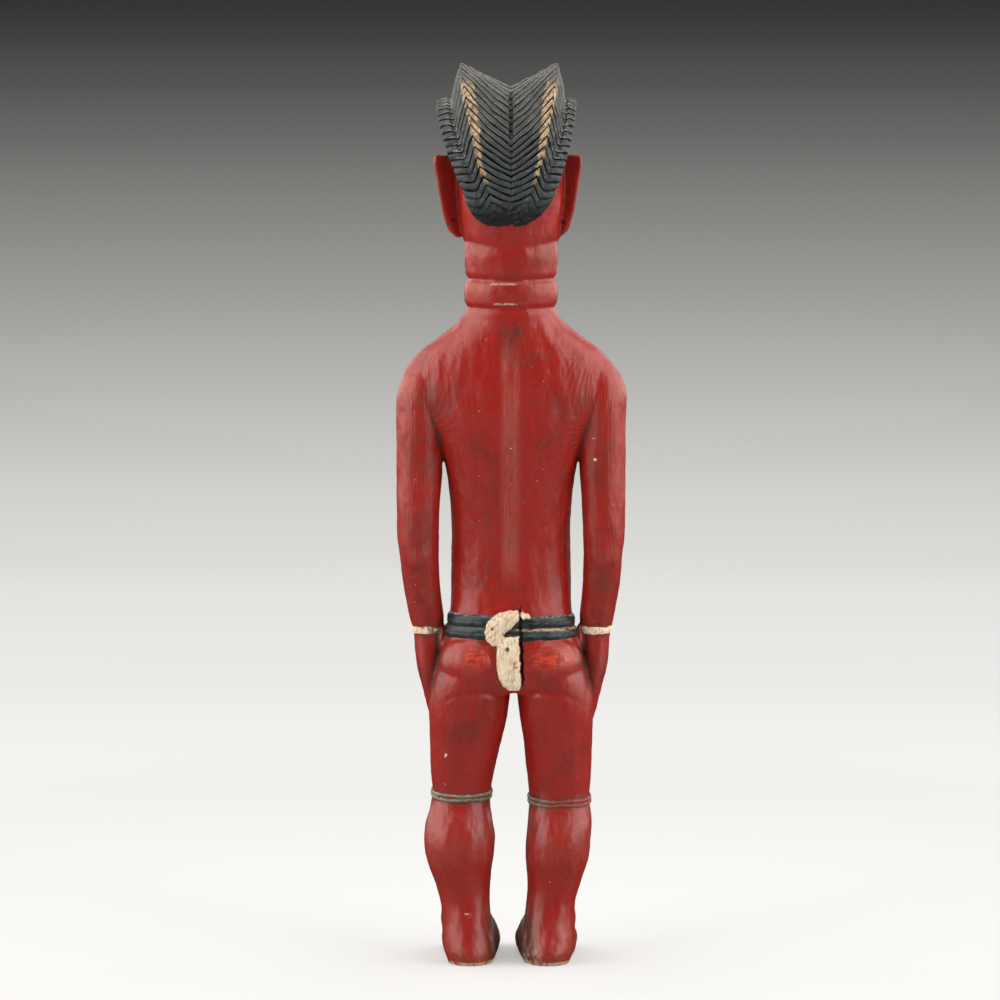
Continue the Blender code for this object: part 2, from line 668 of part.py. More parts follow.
def settle(figure):
    """Replace an object's mesh by what its modifiers make of it."""
    bpy.context.view_layer.update()
    graph = bpy.context.evaluated_depsgraph_get()
    mesh = bpy.data.meshes.new_from_object(figure.evaluated_get(graph))
    figure.modifiers.clear()
    figure.data = mesh


def step(low, high, value):
    """Rise smoothly from 0 at low to 1 at high."""
    t = np.clip((value - low) / (high - low), 0.0, 1.0)
    return t * t * (3 - 2 * t)


def bump(value, middle, width):
    """Give a soft bump that is 1 at its middle."""
    return np.exp(-(((value - middle) / width) ** 2))


def back_furrow(points, normals):
    """Give the depth, from 0 to 1, of the furrow down the back."""
    x, _, z = points.T
    return bump(x, 0.0, 4.2) * step(182, 196, z) * (1 - step(300, 322, z)) * step(0.3, 0.8, normals[:, 1])


def finger_cuts(points, normals):
    """Give the depth, from 0 to 1, of the cuts between the fingers."""
    x, y, z = points.T
    side = np.where(x > 0, 1.0, -1.0)
    _, _, y_middle, depth, _ = read_rows(ARM, z).T
    share = (y - y_middle) / depth
    cut = sum(bump(share, place, 0.10) for place in (-0.46, 0.0, 0.46))
    cut = cut * step(150, 143, z) * step(34.0, 37.0, np.abs(x))
    return np.minimum(cut, 1.0) * step(0.15, 0.5, side * normals[:, 0]) * (z > 117)


def toe_cuts(points):
    """Give the depth, from 0 to 1, of the cuts between the toes."""
    x, y, z = points.T
    share = np.zeros(len(points))
    for side, rows in ((1, LEFT_FOOT), (-1, RIGHT_FOOT)):
        outer, inner, _ = read_rows(rows, TOE_START)
        share = np.where(side * x > 0, (side * x - inner) / (outer - inner), share)
    cut = sum(bump(share, place, 0.028) for place in TOE_CUTS)
    return np.minimum(cut, 1.0) * step(TOE_START, TOE_START - 4.0, y) * (z < 16)


def swellings(rows, points):
    """Add up soft swellings, each the same on both sides."""
    across, _, z = np.abs(points.T)
    total = 0.0
    for middle, height, wide, tall, out in rows:
        total = total + out * bump(across, middle, wide) * bump(z, height, tall)
    return total


def face_relief(points, normals):
    """Give how far the calm, plain face stands forward at each point."""
    x, y, z = points.T
    across = np.abs(x)
    down = np.clip((NOSE_ROOT - z) / (NOSE_ROOT - NOSE_TIP), 0.0, 1.0)
    bridge = (1.6 + 4.2 * down) * np.exp(-((across / (2.8 + 2.2 * down)) ** 2.2))
    nose = bridge * step(NOSE_TIP - 1.6, NOSE_TIP + 1.4, z) * (1 - step(NOSE_ROOT - 2.0, NOSE_ROOT + 6.0, z))
    lids = 0.02 * (across - LID_OUT) ** 2 + LID_LINE
    slit = -0.9 * bump(z, lids, 0.8) * (1 - step(4.6, 6.2, np.abs(across - LID_OUT)))
    mouth = -1.3 * bump(z, MOUTH, 0.8) * (1 - step(5.6, 8.0, across))
    relief = swellings(FACE, points) + nose + slit + mouth
    return relief * step(0.1, 0.5, -normals[:, 1]) * step(346, 349, z) * (1 - step(402, 408, z)) * (y < -8)


def front_relief(points, normals):
    """Give how far breast, belly and navel stand out at each point."""
    _, y, z = points.T
    return swellings(FRONT, points) * step(0.2, 0.7, -normals[:, 1]) * (y < -8) * (z < 330)


def carve(figure):
    """Cut the relief into the fused skin."""
    mesh = figure.data
    count = len(mesh.vertices)
    spots = np.empty(count * 3)
    mesh.vertices.foreach_get("co", spots)
    facing = np.empty(count * 3)
    mesh.vertex_normals.foreach_get("vector", facing)
    points = spots.reshape(-1, 3) / UNIT
    normals = facing.reshape(-1, 3)
    sink = back_furrow(points, normals) * FURROW_DEPTH
    sink += finger_cuts(points, normals) * FINGER_DEPTH
    sink += toe_cuts(points) * TOE_DEPTH
    moved = spots.reshape(-1, 3) - normals * sink[:, None]
    moved[:, 1] -= (face_relief(points, normals) + front_relief(points, normals)) * UNIT
    mesh.vertices.foreach_set("co", moved.ravel())
    mesh.update()


def thin_out(figure):
    """Bring the carved skin down to the number of triangles it needs."""
    triangles = sum(len(face.vertices) - 2 for face in figure.data.polygons)
    thin = figure.modifiers.new("thin", "DECIMATE")
    thin.ratio = BODY_FACES / triangles
    thin.use_collapse_triangulate = True
    settle(figure)


def cut_soles(figure):
    """Cut the feet off flat at the ground."""
    body = bmesh.new()
    body.from_mesh(figure.data)
    everything = body.verts[:] + body.edges[:] + body.faces[:]
    bmesh.ops.bisect_plane(body, geom=everything, plane_co=(0, 0, 0), plane_no=(0, 0, 1), clear_inner=True)
    rim = [edge for edge in body.edges if edge.is_boundary]
    bmesh.ops.holes_fill(body, edges=rim, sides=0)
    bmesh.ops.recalc_face_normals(body, faces=body.faces)
    bmesh.ops.triangulate(body, faces=[face for face in body.faces if len(face.verts) > 3])
    body.to_mesh(figure.data)
    body.free()


def stand_over_origin(figure):
    """Slide the figure until the origin is under the middle of its box."""
    corners = [Vector(corner) for corner in figure.bound_box]
    middle = sum(corners, Vector()) / len(corners)
    figure.data.transform(Matrix.Translation((-middle.x, -middle.y, 0.0)))
    figure.data.update()


def make_materials():
    """Make a Principled material for each finish, in the order of FINISHES."""
    for name, (colour, roughness, metallic) in FINISHES.items():
        material = bpy.data.materials.new(name)
        material.use_nodes = True
        shader = material.node_tree.nodes["Principled BSDF"]
        shader.inputs["Base Color"].default_value = colour
        shader.inputs["Roughness"].default_value = roughness
        shader.inputs["Metallic"].default_value = metallic
        material.diffuse_color = colour


def main():
    """Build the figure."""
    clear_scene()
    make_materials()
    collection = new_collection("spirit_spouse_figure")
    figure = fuse(body_forms(), "figure")
    carve(figure)
    thin_out(figure)
    unite(figure, dress_forms())
    cut_soles(figure)
    stand_over_origin(figure)
    figure.data.shade_smooth()
    figure.data.set_sharp_from_angle(angle=SHARP_ANGLE)
    collection.objects.link(figure)
    bpy.context.scene.collection.objects.unlink(figure)


main()
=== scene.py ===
"""Painted wooden spirit spouse figure: its carved surface, its paint and a studio.

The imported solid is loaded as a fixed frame, and each piece is built round it. Lengths in
the tables are in 450ths of the figure's height, which is a millimetre at full size.
"""

import math

import bmesh
import bpy
import numpy as np
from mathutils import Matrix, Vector
from mathutils.kdtree import KDTree


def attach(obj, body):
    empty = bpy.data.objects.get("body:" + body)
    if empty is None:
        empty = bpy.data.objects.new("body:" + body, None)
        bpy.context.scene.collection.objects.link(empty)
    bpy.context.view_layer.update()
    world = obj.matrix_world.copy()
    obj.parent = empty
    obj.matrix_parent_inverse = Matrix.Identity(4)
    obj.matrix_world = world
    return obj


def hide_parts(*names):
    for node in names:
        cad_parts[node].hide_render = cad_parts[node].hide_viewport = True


bl_info = {
    "name": "Painted Spirit Spouse Figure",
    "version": (1, 0, 0),
    "blender": (4, 5, 0),
    "location": "View3D > Sidebar > Figure",
    "description": "Carves and paints a standing wooden figure, and sets up its studio",
    "category": "Object",
}

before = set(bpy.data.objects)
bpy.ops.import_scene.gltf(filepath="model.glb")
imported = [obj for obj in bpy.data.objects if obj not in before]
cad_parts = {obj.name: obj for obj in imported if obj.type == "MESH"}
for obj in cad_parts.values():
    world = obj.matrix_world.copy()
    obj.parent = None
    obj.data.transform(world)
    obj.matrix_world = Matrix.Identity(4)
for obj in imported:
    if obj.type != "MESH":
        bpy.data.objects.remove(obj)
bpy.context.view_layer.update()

MIDDLE = (0.03, 8.185)    # from the tables' zero to the middle of the figure's box
MILLIMETRES = 1000.0      # in a metre
MILLIMETRE = 0.001        # in metres
FLOOR_DROP = 0.0002       # how far the floor lies below the soles, in metres
LIGHT_ASIDE = 1.35        # how far the side lights stand from the middle, in metres
LAMP_COLOUR = (1.0, 0.97, 0.92)  # warm white of every light
ROOM_COLOUR = (0.030, 0.030, 0.028, 1.0)  # dim light from the room
CAMERA_AIM = (0.0055, 0.0082, 0.232)  # point the camera looks at, in metres
SOLE_SINK = 3.0           # how far the rough feet reach below the ground before the cut
SOLE_BELLY = 7.0          # height at which the feet are widest
RING_POINTS = 72          # points round one level of a limb

# Rows of the trunk: height, half width, front, back, squareness of the section.
TRUNK = (
    (134, 34.0, -14.0, 17.0, 2.2),
    (141, 38.4, -17.0, 20.5, 2.3),
    (150, 37.2, -18.5, 21.5, 2.3),
    (158, 35.2, -19.5, 20.5, 2.3),
    (165, 32.8, -20.5, 19.0, 2.3),
    (172, 31.0, -21.5, 17.5, 2.3),
    (180, 30.2, -23.0, 15.8, 2.3),
    (192, 30.0, -24.6, 14.6, 2.3),
    (206, 29.8, -24.8, 14.4, 2.3),
    (222, 29.7, -23.2, 15.6, 2.3),
    (236, 30.8, -21.8, 17.2, 2.3),
    (247, 32.3, -21.4, 18.6, 2.3),
    (257, 35.0, -21.6, 19.8, 2.3),
    (266, 40.0, -22.0, 20.6, 2.2),
    (275, 48.0, -22.0, 21.0, 2.1),
    (283, 54.0, -21.2, 20.8, 2.0),
    (291, 54.6, -19.8, 20.2, 2.0),
    (299, 51.9, -18.2, 19.4, 2.0),
    (307, 44.9, -17.4, 18.6, 2.0),
    (313, 37.0, -17.2, 18.0, 2.0),
    (319, 29.0, -17.6, 17.6, 2.0),
    (325, 23.4, -18.5, 17.6, 2.0),
)

# Rows of the neck with its one ring between two grooves, same columns as the trunk.
NECK = (
    (312, 25.0, -17.0, 16.5, 2.0),
    (322, 23.4, -18.5, 17.5, 2.1),
    (327, 22.8, -18.8, 17.7, 2.1),
    (329.3, 21.6, -18.0, 17.0, 2.1),
    (331, 22.8, -19.2, 18.2, 2.2),
    (334, 23.3, -19.7, 18.8, 2.2),
    (339, 23.3, -19.7, 18.8, 2.2),
    (341.5, 22.6, -19.2, 18.2, 2.2),
    (343.2, 21.0, -18.0, 17.0, 2.1),
    (345, 22.4, -19.2, 18.0, 2.1),
    (349, 23.0, -19.6, 18.6, 2.1),
    (358, 23.3, -20.0, 19.0, 2.1),
    (364, 22.0, -18.0, 17.0, 2.1),
    (370, 15.0, -12.0, 10.0, 2.1),
)

# Rows of the head from the chin to the crown, same columns as the trunk.
HEAD = (
    (345, 9.0, -24.5, -6.0, 2.2),
    (348.5, 13.5, -27.6, 4.0, 2.2),
    (354, 18.5, -28.6, 16.0, 2.2),
    (362, 23.6, -28.6, 19.4, 2.2),
    (372, 25.8, -28.0, 20.8, 2.2),
    (384, 26.8, -27.2, 22.8, 2.2),
    (396, 26.8, -27.2, 23.0, 2.2),
    (406, 25.8, -26.6, 21.5, 2.2),
    (414, 23.2, -23.5, 18.0, 2.1),
    (420, 17.5, -17.5, 12.0, 2.0),
    (423, 8.0, -9.0, 4.0, 2.0),
)

# Rows of an arm and its hand: height, middle from the centre line, half width, middle
# front to back, half depth, squareness.
ARM = (
    (305, 39.0, 2.0, 0.0, 3.0, 2.0),
    (302, 40.6, 5.4, 0.0, 7.0, 2.0),
    (296, 43.2, 9.2, 0.2, 11.0, 2.0),
    (287, 45.0, 11.5, 0.5, 12.8, 2.0),
    (276, 45.6, 11.6, 1.0, 13.0, 2.0),
    (262, 45.7, 11.5, 1.5, 12.6, 2.1),
    (246, 45.7, 11.4, 2.0, 12.0, 2.1),
    (230, 46.3, 10.8, 2.5, 11.6, 2.1),
    (215, 46.4, 10.3, 2.5, 11.2, 2.1),
    (203, 45.7, 9.7, 1.5, 10.9, 2.1),
    (190, 44.7, 9.2, 0.0, 10.4, 2.1),
    (180, 43.3, 8.8, -1.5, 9.9, 2.1),
    (172, 42.1, 8.4, -2.7, 9.3, 2.1),
    (165, 41.5, 7.2, -3.5, 8.8, 2.2),
    (157, 41.7, 6.4, -4.5, 9.8, 2.3),
    (148, 41.1, 5.9, -5.2, 10.7, 2.4),
    (140, 39.7, 5.4, -6.0, 10.5, 2.4),
    (131, 38.1, 4.9, -6.8, 9.4, 2.4),
    (124, 36.9, 4.3, -7.4, 8.0, 2.3),
    (119.5, 36.2, 3.2, -7.8, 5.6, 2.2),
    (117.5, 36.0, 1.6, -7.9, 3.0, 2.0),
)
WRIST = 167.2             # height of the bracelets
RIGHT_ARM_OUT = 0.9       # how much further out the right hand hangs
RIGHT_SHOULDER_OUT = 1.5  # and the right shoulder

# Rows of a leg: height, outer side, inner side, front, back, squareness. The carver
# gave the left leg the rounder calf and set the right foot further in.
LEFT_LEG = (
    (154, 35.0, 3.0, -16.0, 19.0, 2.2),
    (142, 38.6, 1.0, -17.5, 20.5, 2.3),
    (130, 40.8, 0.6, -18.0, 19.6, 2.3),
    (122, 41.0, 2.0, -18.5, 18.0, 2.3),
    (114, 40.7, 4.0, -19.0, 16.0, 2.3),
    (106, 40.6, 6.0, -19.5, 14.2, 2.3),
    (98, 40.4, 7.6, -20.2, 12.6, 2.3),
    (90, 39.8, 9.4, -20.8, 11.4, 2.3),
    (83, 39.3, 10.3, -21.0, 10.8, 2.3),
    (77.5, 40.2, 10.4, -20.5, 12.0, 2.3),
    (70, 42.4, 9.2, -18.6, 15.4, 2.3),
    (62, 43.5, 8.2, -16.6, 17.8, 2.2),
    (53.5, 42.9, 8.6, -14.8, 18.2, 2.2),
    (45.5, 40.4, 9.9, -13.2, 17.0, 2.2),
    (37.5, 37.5, 10.5, -11.8, 15.8, 2.2),
    (29.5, 35.3, 10.6, -11.0, 15.8, 2.2),
    (21, 34.3, 9.8, -11.5, 17.8, 2.2),
    (12, 34.2, 8.8, -12.0, 21.0, 2.2),
    (5, 33.0, 8.8, -12.0, 23.4, 2.3),
    (-SOLE_SINK, 30.4, 10.2, -12.0, 22.6, 2.3),
)
RIGHT_LEG = (
    (154, 35.0, 3.0, -16.0, 19.0, 2.2),
    (142, 38.8, 3.0, -17.5, 20.5, 2.3),
    (130, 41.0, 3.4, -18.0, 19.6, 2.3),
    (122, 41.2, 4.6, -18.5, 18.0, 2.3),
    (114, 40.9, 6.0, -19.0, 16.0, 2.3),
    (106, 40.5, 7.0, -19.5, 14.2, 2.3),
    (98, 40.4, 7.8, -20.2, 12.6, 2.3),
    (90, 40.0, 8.5, -20.8, 11.6, 2.3),
    (81, 39.4, 9.2, -21.0, 11.0, 2.3),
    (76, 40.0, 9.0, -20.4, 12.4, 2.3),
    (69, 40.4, 8.5, -18.4, 15.6, 2.3),
    (61, 40.1, 7.6, -16.4, 17.6, 2.2),
    (53.5, 39.3, 7.5, -14.8, 17.8, 2.2),
    (45.5, 37.0, 8.0, -13.2, 16.8, 2.2),
    (37.5, 34.6, 8.4, -11.8, 15.6, 2.2),
    (29.5, 32.4, 7.8, -11.0, 15.8, 2.2),
    (21, 31.8, 6.8, -11.5, 17.8, 2.2),
    (12, 32.0, 6.2, -12.0, 21.0, 2.2),
    (5, 31.0, 6.6, -12.0, 23.4, 2.3),
    (-SOLE_SINK, 28.4, 8.2, -12.0, 22.6, 2.3),
)

# Rows of a foot from inside the heel to the toes: front to back, outer side, inner
# side, height.
LEFT_FOOT = (
    (13.0, 32.6, 8.2, 20.0),
    (2.0, 33.2, 7.4, 27.0),
    (-9.0, 34.0, 6.4, 26.0),
    (-18.0, 34.6, 5.8, 21.0),
    (-27.0, 34.8, 5.6, 15.0),
    (-35.0, 34.0, 5.8, 10.8),
    (-41.0, 31.5, 7.6, 8.4),
    (-44.5, 28.0, 11.0, 5.6),
    (-46.0, 24.5, 15.0, 3.0),
)
RIGHT_FOOT = (
    (13.0, 30.4, 5.6, 20.0),
    (2.0, 31.2, 4.6, 27.0),
    (-9.0, 32.4, 3.4, 26.0),
    (-18.0, 33.2, 2.8, 21.0),
    (-27.0, 33.4, 2.4, 15.0),
    (-35.0, 32.6, 2.6, 10.8),
    (-41.0, 30.2, 4.6, 8.4),
    (-44.5, 26.4, 8.0, 5.6),
    (-46.0, 23.0, 12.0, 3.0),
)
TOE_CUTS = (0.34, 0.53, 0.70, 0.86)   # cuts between the toes, as shares from inside out
TOE_START = -33.0                     # where the cuts between the toes begin

# Rows of an ear, a flat plate that leans out from the head: height, attached edge
# (out, back), free edge (out, back), thickness.
EAR = (
    (363.5, 25.5, 0.0, 27.0, 1.5, 2.4),
    (366.5, 25.0, -1.0, 30.2, 3.4, 3.4),
    (372.0, 25.0, -2.0, 32.6, 5.0, 3.6),
    (382.0, 25.0, -3.0, 34.9, 6.4, 3.6),
    (393.0, 25.0, -3.0, 36.7, 7.4, 3.6),
    (401.5, 25.0, -3.0, 38.0, 7.8, 3.6),
    (404.6, 25.5, -2.4, 37.8, 7.4, 3.0),
)

# The hair is a fan of sections round a cross axis through the head. Each row is the
# angle from straight ahead, then distance across and height of: the middle valley, the
# high crest, the foot of its outer flank, the low side crest, its outer shoulder and
# the outer edge against the head.
HAIR_AXIS = (-3.0, 388.0)
HAIR = (
    (36, 30.2, 11.0, 30.4, 15.5, 29.0, 17.5, 28.2, 21.6, 21.8, 19.0, 12.0),
    (45, 34.6, 14.0, 37.0, 19.5, 33.4, 21.5, 33.6, 26.8, 28.2, 22.5, 14.0),
    (56, 42.0, 19.0, 47.5, 24.5, 38.0, 26.5, 39.5, 32.2, 36.2, 25.0, 17.0),
    (72, 48.0, 23.2, 58.5, 28.8, 42.0, 30.6, 44.0, 36.8, 42.0, 26.0, 19.0),
    (90, 50.8, 24.9, 62.6, 30.0, 43.0, 31.6, 45.0, 37.9, 43.0, 26.5, 20.0),
    (105, 48.6, 24.6, 60.6, 29.8, 41.0, 31.4, 42.6, 37.6, 40.6, 26.5, 19.0),
    (120, 43.4, 22.4, 52.6, 28.3, 37.0, 30.0, 38.6, 36.0, 36.6, 26.5, 18.0),
    (135, 37.8, 20.0, 45.0, 25.6, 33.4, 27.4, 34.4, 33.3, 32.4, 26.0, 17.0),
    (150, 32.8, 17.3, 37.4, 22.6, 30.4, 24.8, 31.0, 30.4, 28.6, 25.6, 16.0),
    (165, 29.6, 14.2, 31.8, 19.4, 28.9, 21.8, 29.0, 27.6, 26.4, 24.6, 14.0),
    (180, 28.2, 11.2, 29.2, 16.6, 28.0, 19.2, 27.9, 24.9, 25.2, 23.0, 12.0),
    (197, 28.4, 8.6, 28.9, 13.8, 28.4, 16.4, 28.1, 21.4, 26.0, 19.4, 12.0),
    (209, 29.2, 6.6, 29.4, 11.0, 29.1, 13.4, 28.6, 16.6, 27.4, 14.4, 12.0),
    (217, 29.6, 3.8, 29.7, 6.4, 29.5, 8.4, 29.1, 10.4, 28.4, 8.6, 12.0),
)
RIGHT_HAIR = (0.925, 0.05)    # share of the left half's width at the middle, and its loss at the edge
NAPE_SHIFT = 1.8              # how far the lowest hair sits left of the middle
RIGHT_EAR_IN = 2.9            # how much further in the right ear sits
CHEVRON_SLOPE = 0.62      # how steeply the locks fall from a high crest to the middle
CHEVRON_CALM = 0.70       # share of that slope that is left at the nape
CHEVRON_SAG = 0.35        # how far a lock sags below a straight line
FLANK_SLOPE = 1.25        # how steeply they fall on the outer flank
LEVEL_FRONT = 42.0        # stretch behind the forehead over which the slant sets in
LEVEL_NAPE = 11.0         # stretch before the nape over which it fades

# Belt, knot and tail of the waist cloth.
BELT_HEIGHTS = (172.6, 166.6)         # of the two cords at the left side
BELT_FALL = 1.2                       # how much lower the right side hangs
# Points of the knotted end: out to the left, height, share of its thickness.
KNOT = (
    (-8.4, 175.5, 0.22),
    (-4.8, 176.1, 0.36),
    (-0.8, 175.2, 0.62),
    (3.2, 173.0, 0.88),
    (6.6, 170.0, 0.96),
    (8.4, 166.8, 0.88),
    (8.0, 164.2, 0.66),
)
KNOT_THICK = 0.0108
KNOT_BACK = 22.6                      # how far back the outside of the knot lies

# Rows of the cloth's tail behind and of its flap in front: height, middle, half width,
# front, back, squareness.
TAIL = (
    (165.5, 0.9, 5.8, 12.0, 22.8, 3.2),
    (161.0, 0.95, 6.05, 12.0, 24.2, 3.4),
    (152.0, 0.95, 6.1, 12.0, 24.8, 3.4),
    (145.0, 0.55, 5.6, 12.0, 24.2, 3.4),
    (141.2, -0.3, 4.8, 10.0, 23.0, 3.2),
    (138.6, -1.4, 3.5, 9.0, 21.6, 2.8),
)
FLAP = (
    (171.0, 0.0, 13.0, -24.4, -14.0, 3.0),
    (163.0, 0.0, 13.6, -25.2, -14.0, 3.2),
    (150.0, 0.0, 12.6, -24.6, -14.0, 3.2),
    (142.0, 0.0, 11.9, -23.9, -13.0, 3.2),
    (136.4, 0.0, 11.4, -23.2, -13.0, 3.0),
    (134.4, 0.0, 10.4, -22.2, -14.0, 2.8),
)
# Web between each hand and hip, an ellipsoid: out, back, height, then its radii.
HIP_WEB = (34.6, -2.0, 161.0, 2.6, 7.0, 9.0)

# Each buttock and thumb is an ellipsoid: out, back, height, then its three radii.
# Notch between the legs: across, height, half width, rise.
FORK = (-1.25, 130.5, 5.5, 4.0)
BUTTOCK = (17.6, 6.9, 150.5, 18.5, 15.6, 16.5)
THUMB = (41.2, -13.8, 146.5, 3.4, 3.4, 10.0)

# Swellings of the face and of the front: out from the middle, height, reach across,
# reach up, and how far each stands out.
FACE = (
    (9.0, 391.0, 8.5, 2.4, 1.5),
    (10.4, 383.4, 7.2, 5.0, -2.2),
    (10.6, 382.2, 4.8, 2.8, 2.2),
    (3.6, 370.8, 2.2, 2.2, 2.0),
    (0.0, 362.2, 6.0, 1.7, 2.4),
    (0.0, 358.4, 5.4, 1.8, 2.5),
    (0.0, 351.4, 7.0, 3.6, 1.4),
)
FRONT = (
    (15.0, 276.0, 10.0, 9.0, 1.6),
    (15.5, 272.0, 2.2, 2.2, 1.3),
    (0.0, 200.0, 17.0, 20.0, 1.6),
    (0.0, 197.0, 2.6, 2.6, 2.4),
)
NOSE_ROOT = 391.0
NOSE_TIP = 369.0
LID_OUT = 10.6            # middle of an eye from the centre line
LID_LINE = 380.9          # height of the line between the closed lids
MOUTH = 360.4             # height of the line between the lips

# Garters: heights of the two cords of each, and how far they dip behind the knee.
LEFT_GARTER = (84.4, 82.4)
RIGHT_GARTER = (81.6, 79.6)
GARTER_DIP = 0.7

CRACK_TOP = (-4.5, 181.0)   # across and height of the drying crack's upper end, behind
CRACK_SLANT = -0.035        # how far it moves across for each unit down
CRACK_FOOT = 138.0          # height of its lower end
RING_AXIS = 30.0            # the tree's middle lies this far in front of the figure
RING_PITCH = 0.90           # from one growth ring to the next
# Small holes and dents: x, y, height, radius, depth.
PITS = (
    (28.5, 5.0, 372.3, 0.8, 0.9),
    (-25.9, 5.0, 371.3, 0.8, 0.9),
    (-11.0, 22.0, 365.6, 0.9, 1.3),
    (-41.8, 12.0, 253.6, 1.5, 0.35),
    (-41.8, 12.0, 263.9, 1.0, 0.3),
    (21.5, 17.0, 25.3, 1.6, 0.45),
)
CLOTH_PITS = ((1.75, 24.5, 159.6, 1.4, 1.0), (9.4, 22.6, 169.6, 1.0, 0.6))
# Spots of paint and bare wood: x, y, height, radius.
PALE_CHIPS = (
    (-41.8, 13.0, 253.6, 0.85),
    (-41.0, 13.0, 264.2, 0.35),
    (-42.1, 13.0, 264.4, 0.30),
    (22.9, 17.3, 25.3, 0.45),
    (21.8, 17.5, 25.1, 0.65),
    (20.6, 17.5, 25.0, 0.45),
    (31.5, 14.0, 125.9, 0.65),
    (31.8, 14.0, 125.0, 0.50),
    (35.9, 9.0, 113.5, 0.35),
    (32.5, 12.0, 105.4, 0.70),
    (32.8, 12.0, 104.4, 0.55),
    (25.2, 16.0, 119.0, 0.35),
    (-14.5, 18.0, 350.3, 0.55),
    (-15.3, 18.0, 349.0, 0.35),
    (-16.8, 17.0, 346.4, 0.70),
    (-18.6, 16.0, 345.3, 0.50),
    (-14.6, 20.5, 376.2, 0.55),
    (-16.5, 20.0, 379.0, 0.50),
)
DARK_HOLES = ((28.5, 5.0, 372.3, 1.1), (-25.9, 5.0, 371.3, 1.1), (-11.0, 22.0, 365.6, 1.2))
HAIR_CHIPS = (
    (-16.4, 17.0, 378.5, 0.65),
    (-18.2, 16.0, 380.6, 0.50),
    (-15.3, 18.0, 376.0, 0.60),
    (27.5, 9.0, 397.0, 0.6),
    (30.0, 6.0, 401.5, 0.7),
)
HAIR_SMEARS = ((-9.6, 22.0, 388.8, 0.85), (-11.4, 22.0, 389.4, 0.6), (-11.0, 22.0, 393.5, 0.5))
# Bright patches on the seat, worn paint with a painted highlight on each buttock: rightmost, leftmost,
# lowest, highest.
SEAT_WEAR_AND_HIGHLIGHT = ((11.0, 22.5, 151.0, 160.0), (-30.0, -10.5, 150.5, 157.5))
RED_SPOTS = (
    (-1.6, 26.0, 152.6, 0.8), (-2.5, 26.0, 150.6, 0.8), (46.8, 8.0, 168.6, 0.8), (46.2, 8.0, 166.8, 0.6)
)
# White lines scraped round the neck: lowest, highest, rightmost, leftmost.
NECK_SCRAPES = ((340.9, 341.8, -2.0, 11.0), (331.0, 331.9, -2.5, 8.5))
# Brightness of the floor's painted glow, which stands for its light and shade, at a distance from the figure,
# in metres.
FLOOR_TONES = (
    (0.0, 0.33),
    (0.6, 0.255),
    (1.05, 0.445),
    (1.3, 0.60),
    (1.6, 0.715),
    (1.9, 0.70),
    (2.3, 0.635),
    (2.75, 0.553),
    (3.3, 0.472),
    (3.9, 0.402),
    (4.65, 0.326),
    (5.6, 0.264),
    (6.75, 0.205),
    (8.3, 0.141),
    (10.4, 0.091),
    (13.0, 0.057),
    (15.3, 0.039),
    (18.0, 0.028),
)


class CarvingSettings(bpy.types.PropertyGroup):
    """Sizes that a maker might want to change, in metres."""

    height: bpy.props.FloatProperty(
        name="Height", description="From the ground to the hair crests", default=0.450, unit="LENGTH"
    )
    skin_cell: bpy.props.FloatProperty(
        name="Skin cell", description="Cell size of the carved skin", default=0.00055, unit="LENGTH"
    )
    cloth_cell: bpy.props.FloatProperty(
        name="Cloth cell", description="Cell size of the carved cloth", default=0.00034, unit="LENGTH"
    )
    lock_pitch: bpy.props.FloatProperty(
        name="Lock pitch", description="From one lock of hair to the next", default=0.0042, unit="LENGTH"
    )
    lock_depth: bpy.props.FloatProperty(
        name="Lock depth", description="Depth of the cut between two locks", default=0.0014, unit="LENGTH"
    )
    belt_cord: bpy.props.FloatProperty(
        name="Belt cord", description="Thickness of a belt cord", default=0.0074, unit="LENGTH"
    )
    belt_proud: bpy.props.FloatProperty(
        name="Belt proud", description="How far a belt cord stands out", default=0.0014, unit="LENGTH"
    )
    garter_cord: bpy.props.FloatProperty(
        name="Garter cord", description="Thickness of a garter cord", default=0.0021, unit="LENGTH"
    )
    garter_proud: bpy.props.FloatProperty(
        name="Garter proud", description="How far a garter stands out", default=0.0010, unit="LENGTH"
    )
    bracelet_width: bpy.props.FloatProperty(
        name="Bracelet width", description="Height of the band at the wrist", default=0.0047, unit="LENGTH"
    )
    bracelet_proud: bpy.props.FloatProperty(
        name="Bracelet proud", description="How far the band stands out", default=0.0007, unit="LENGTH"
    )


def sizes():
    """Give the carving settings of the scene."""
    return bpy.context.scene.spouse_carving


def unit():
    """Give the length of one table unit, in metres."""
    return sizes().height / 450


def read_rows(rows, at):
    """Read a table of rows at other positions, on a smooth curve through them."""
    table = np.array(sorted(rows), dtype=float)
    where = table[:, 0]
    values = table[:, 1:]
    slopes = np.gradient(values, where, axis=0)
    at = np.clip(np.asarray(at, dtype=float), where[0], where[-1])
    left = np.clip(np.searchsorted(where, at) - 1, 0, len(where) - 2)
    gap = (where[left + 1] - where[left])[..., None]
    t = (at - where[left])[..., None] / gap
    start = values[left] * (2 * t**3 - 3 * t**2 + 1) + slopes[left] * gap * (t**3 - 2 * t**2 + t)
    end = values[left + 1] * (3 * t**2 - 2 * t**3) + slopes[left + 1] * gap * (t**3 - t**2)
    return start + end


def oval(half_x, half_y, squareness, points=RING_POINTS):
    """Give the x and y of a ring between an ellipse and a box."""
    turn = np.linspace(0.0, 2 * math.pi, points, endpoint=False)
    power = 2.0 / squareness
    x = half_x * np.sign(np.cos(turn)) * np.abs(np.cos(turn)) ** power
    y = half_y * np.sign(np.sin(turn)) * np.abs(np.sin(turn)) ** power
    return x, y


def step(low, high, value):
    """Rise smoothly from 0 at low to 1 at high."""
    t = np.clip((value - low) / (high - low), 0.0, 1.0)
    return t * t * (3 - 2 * t)


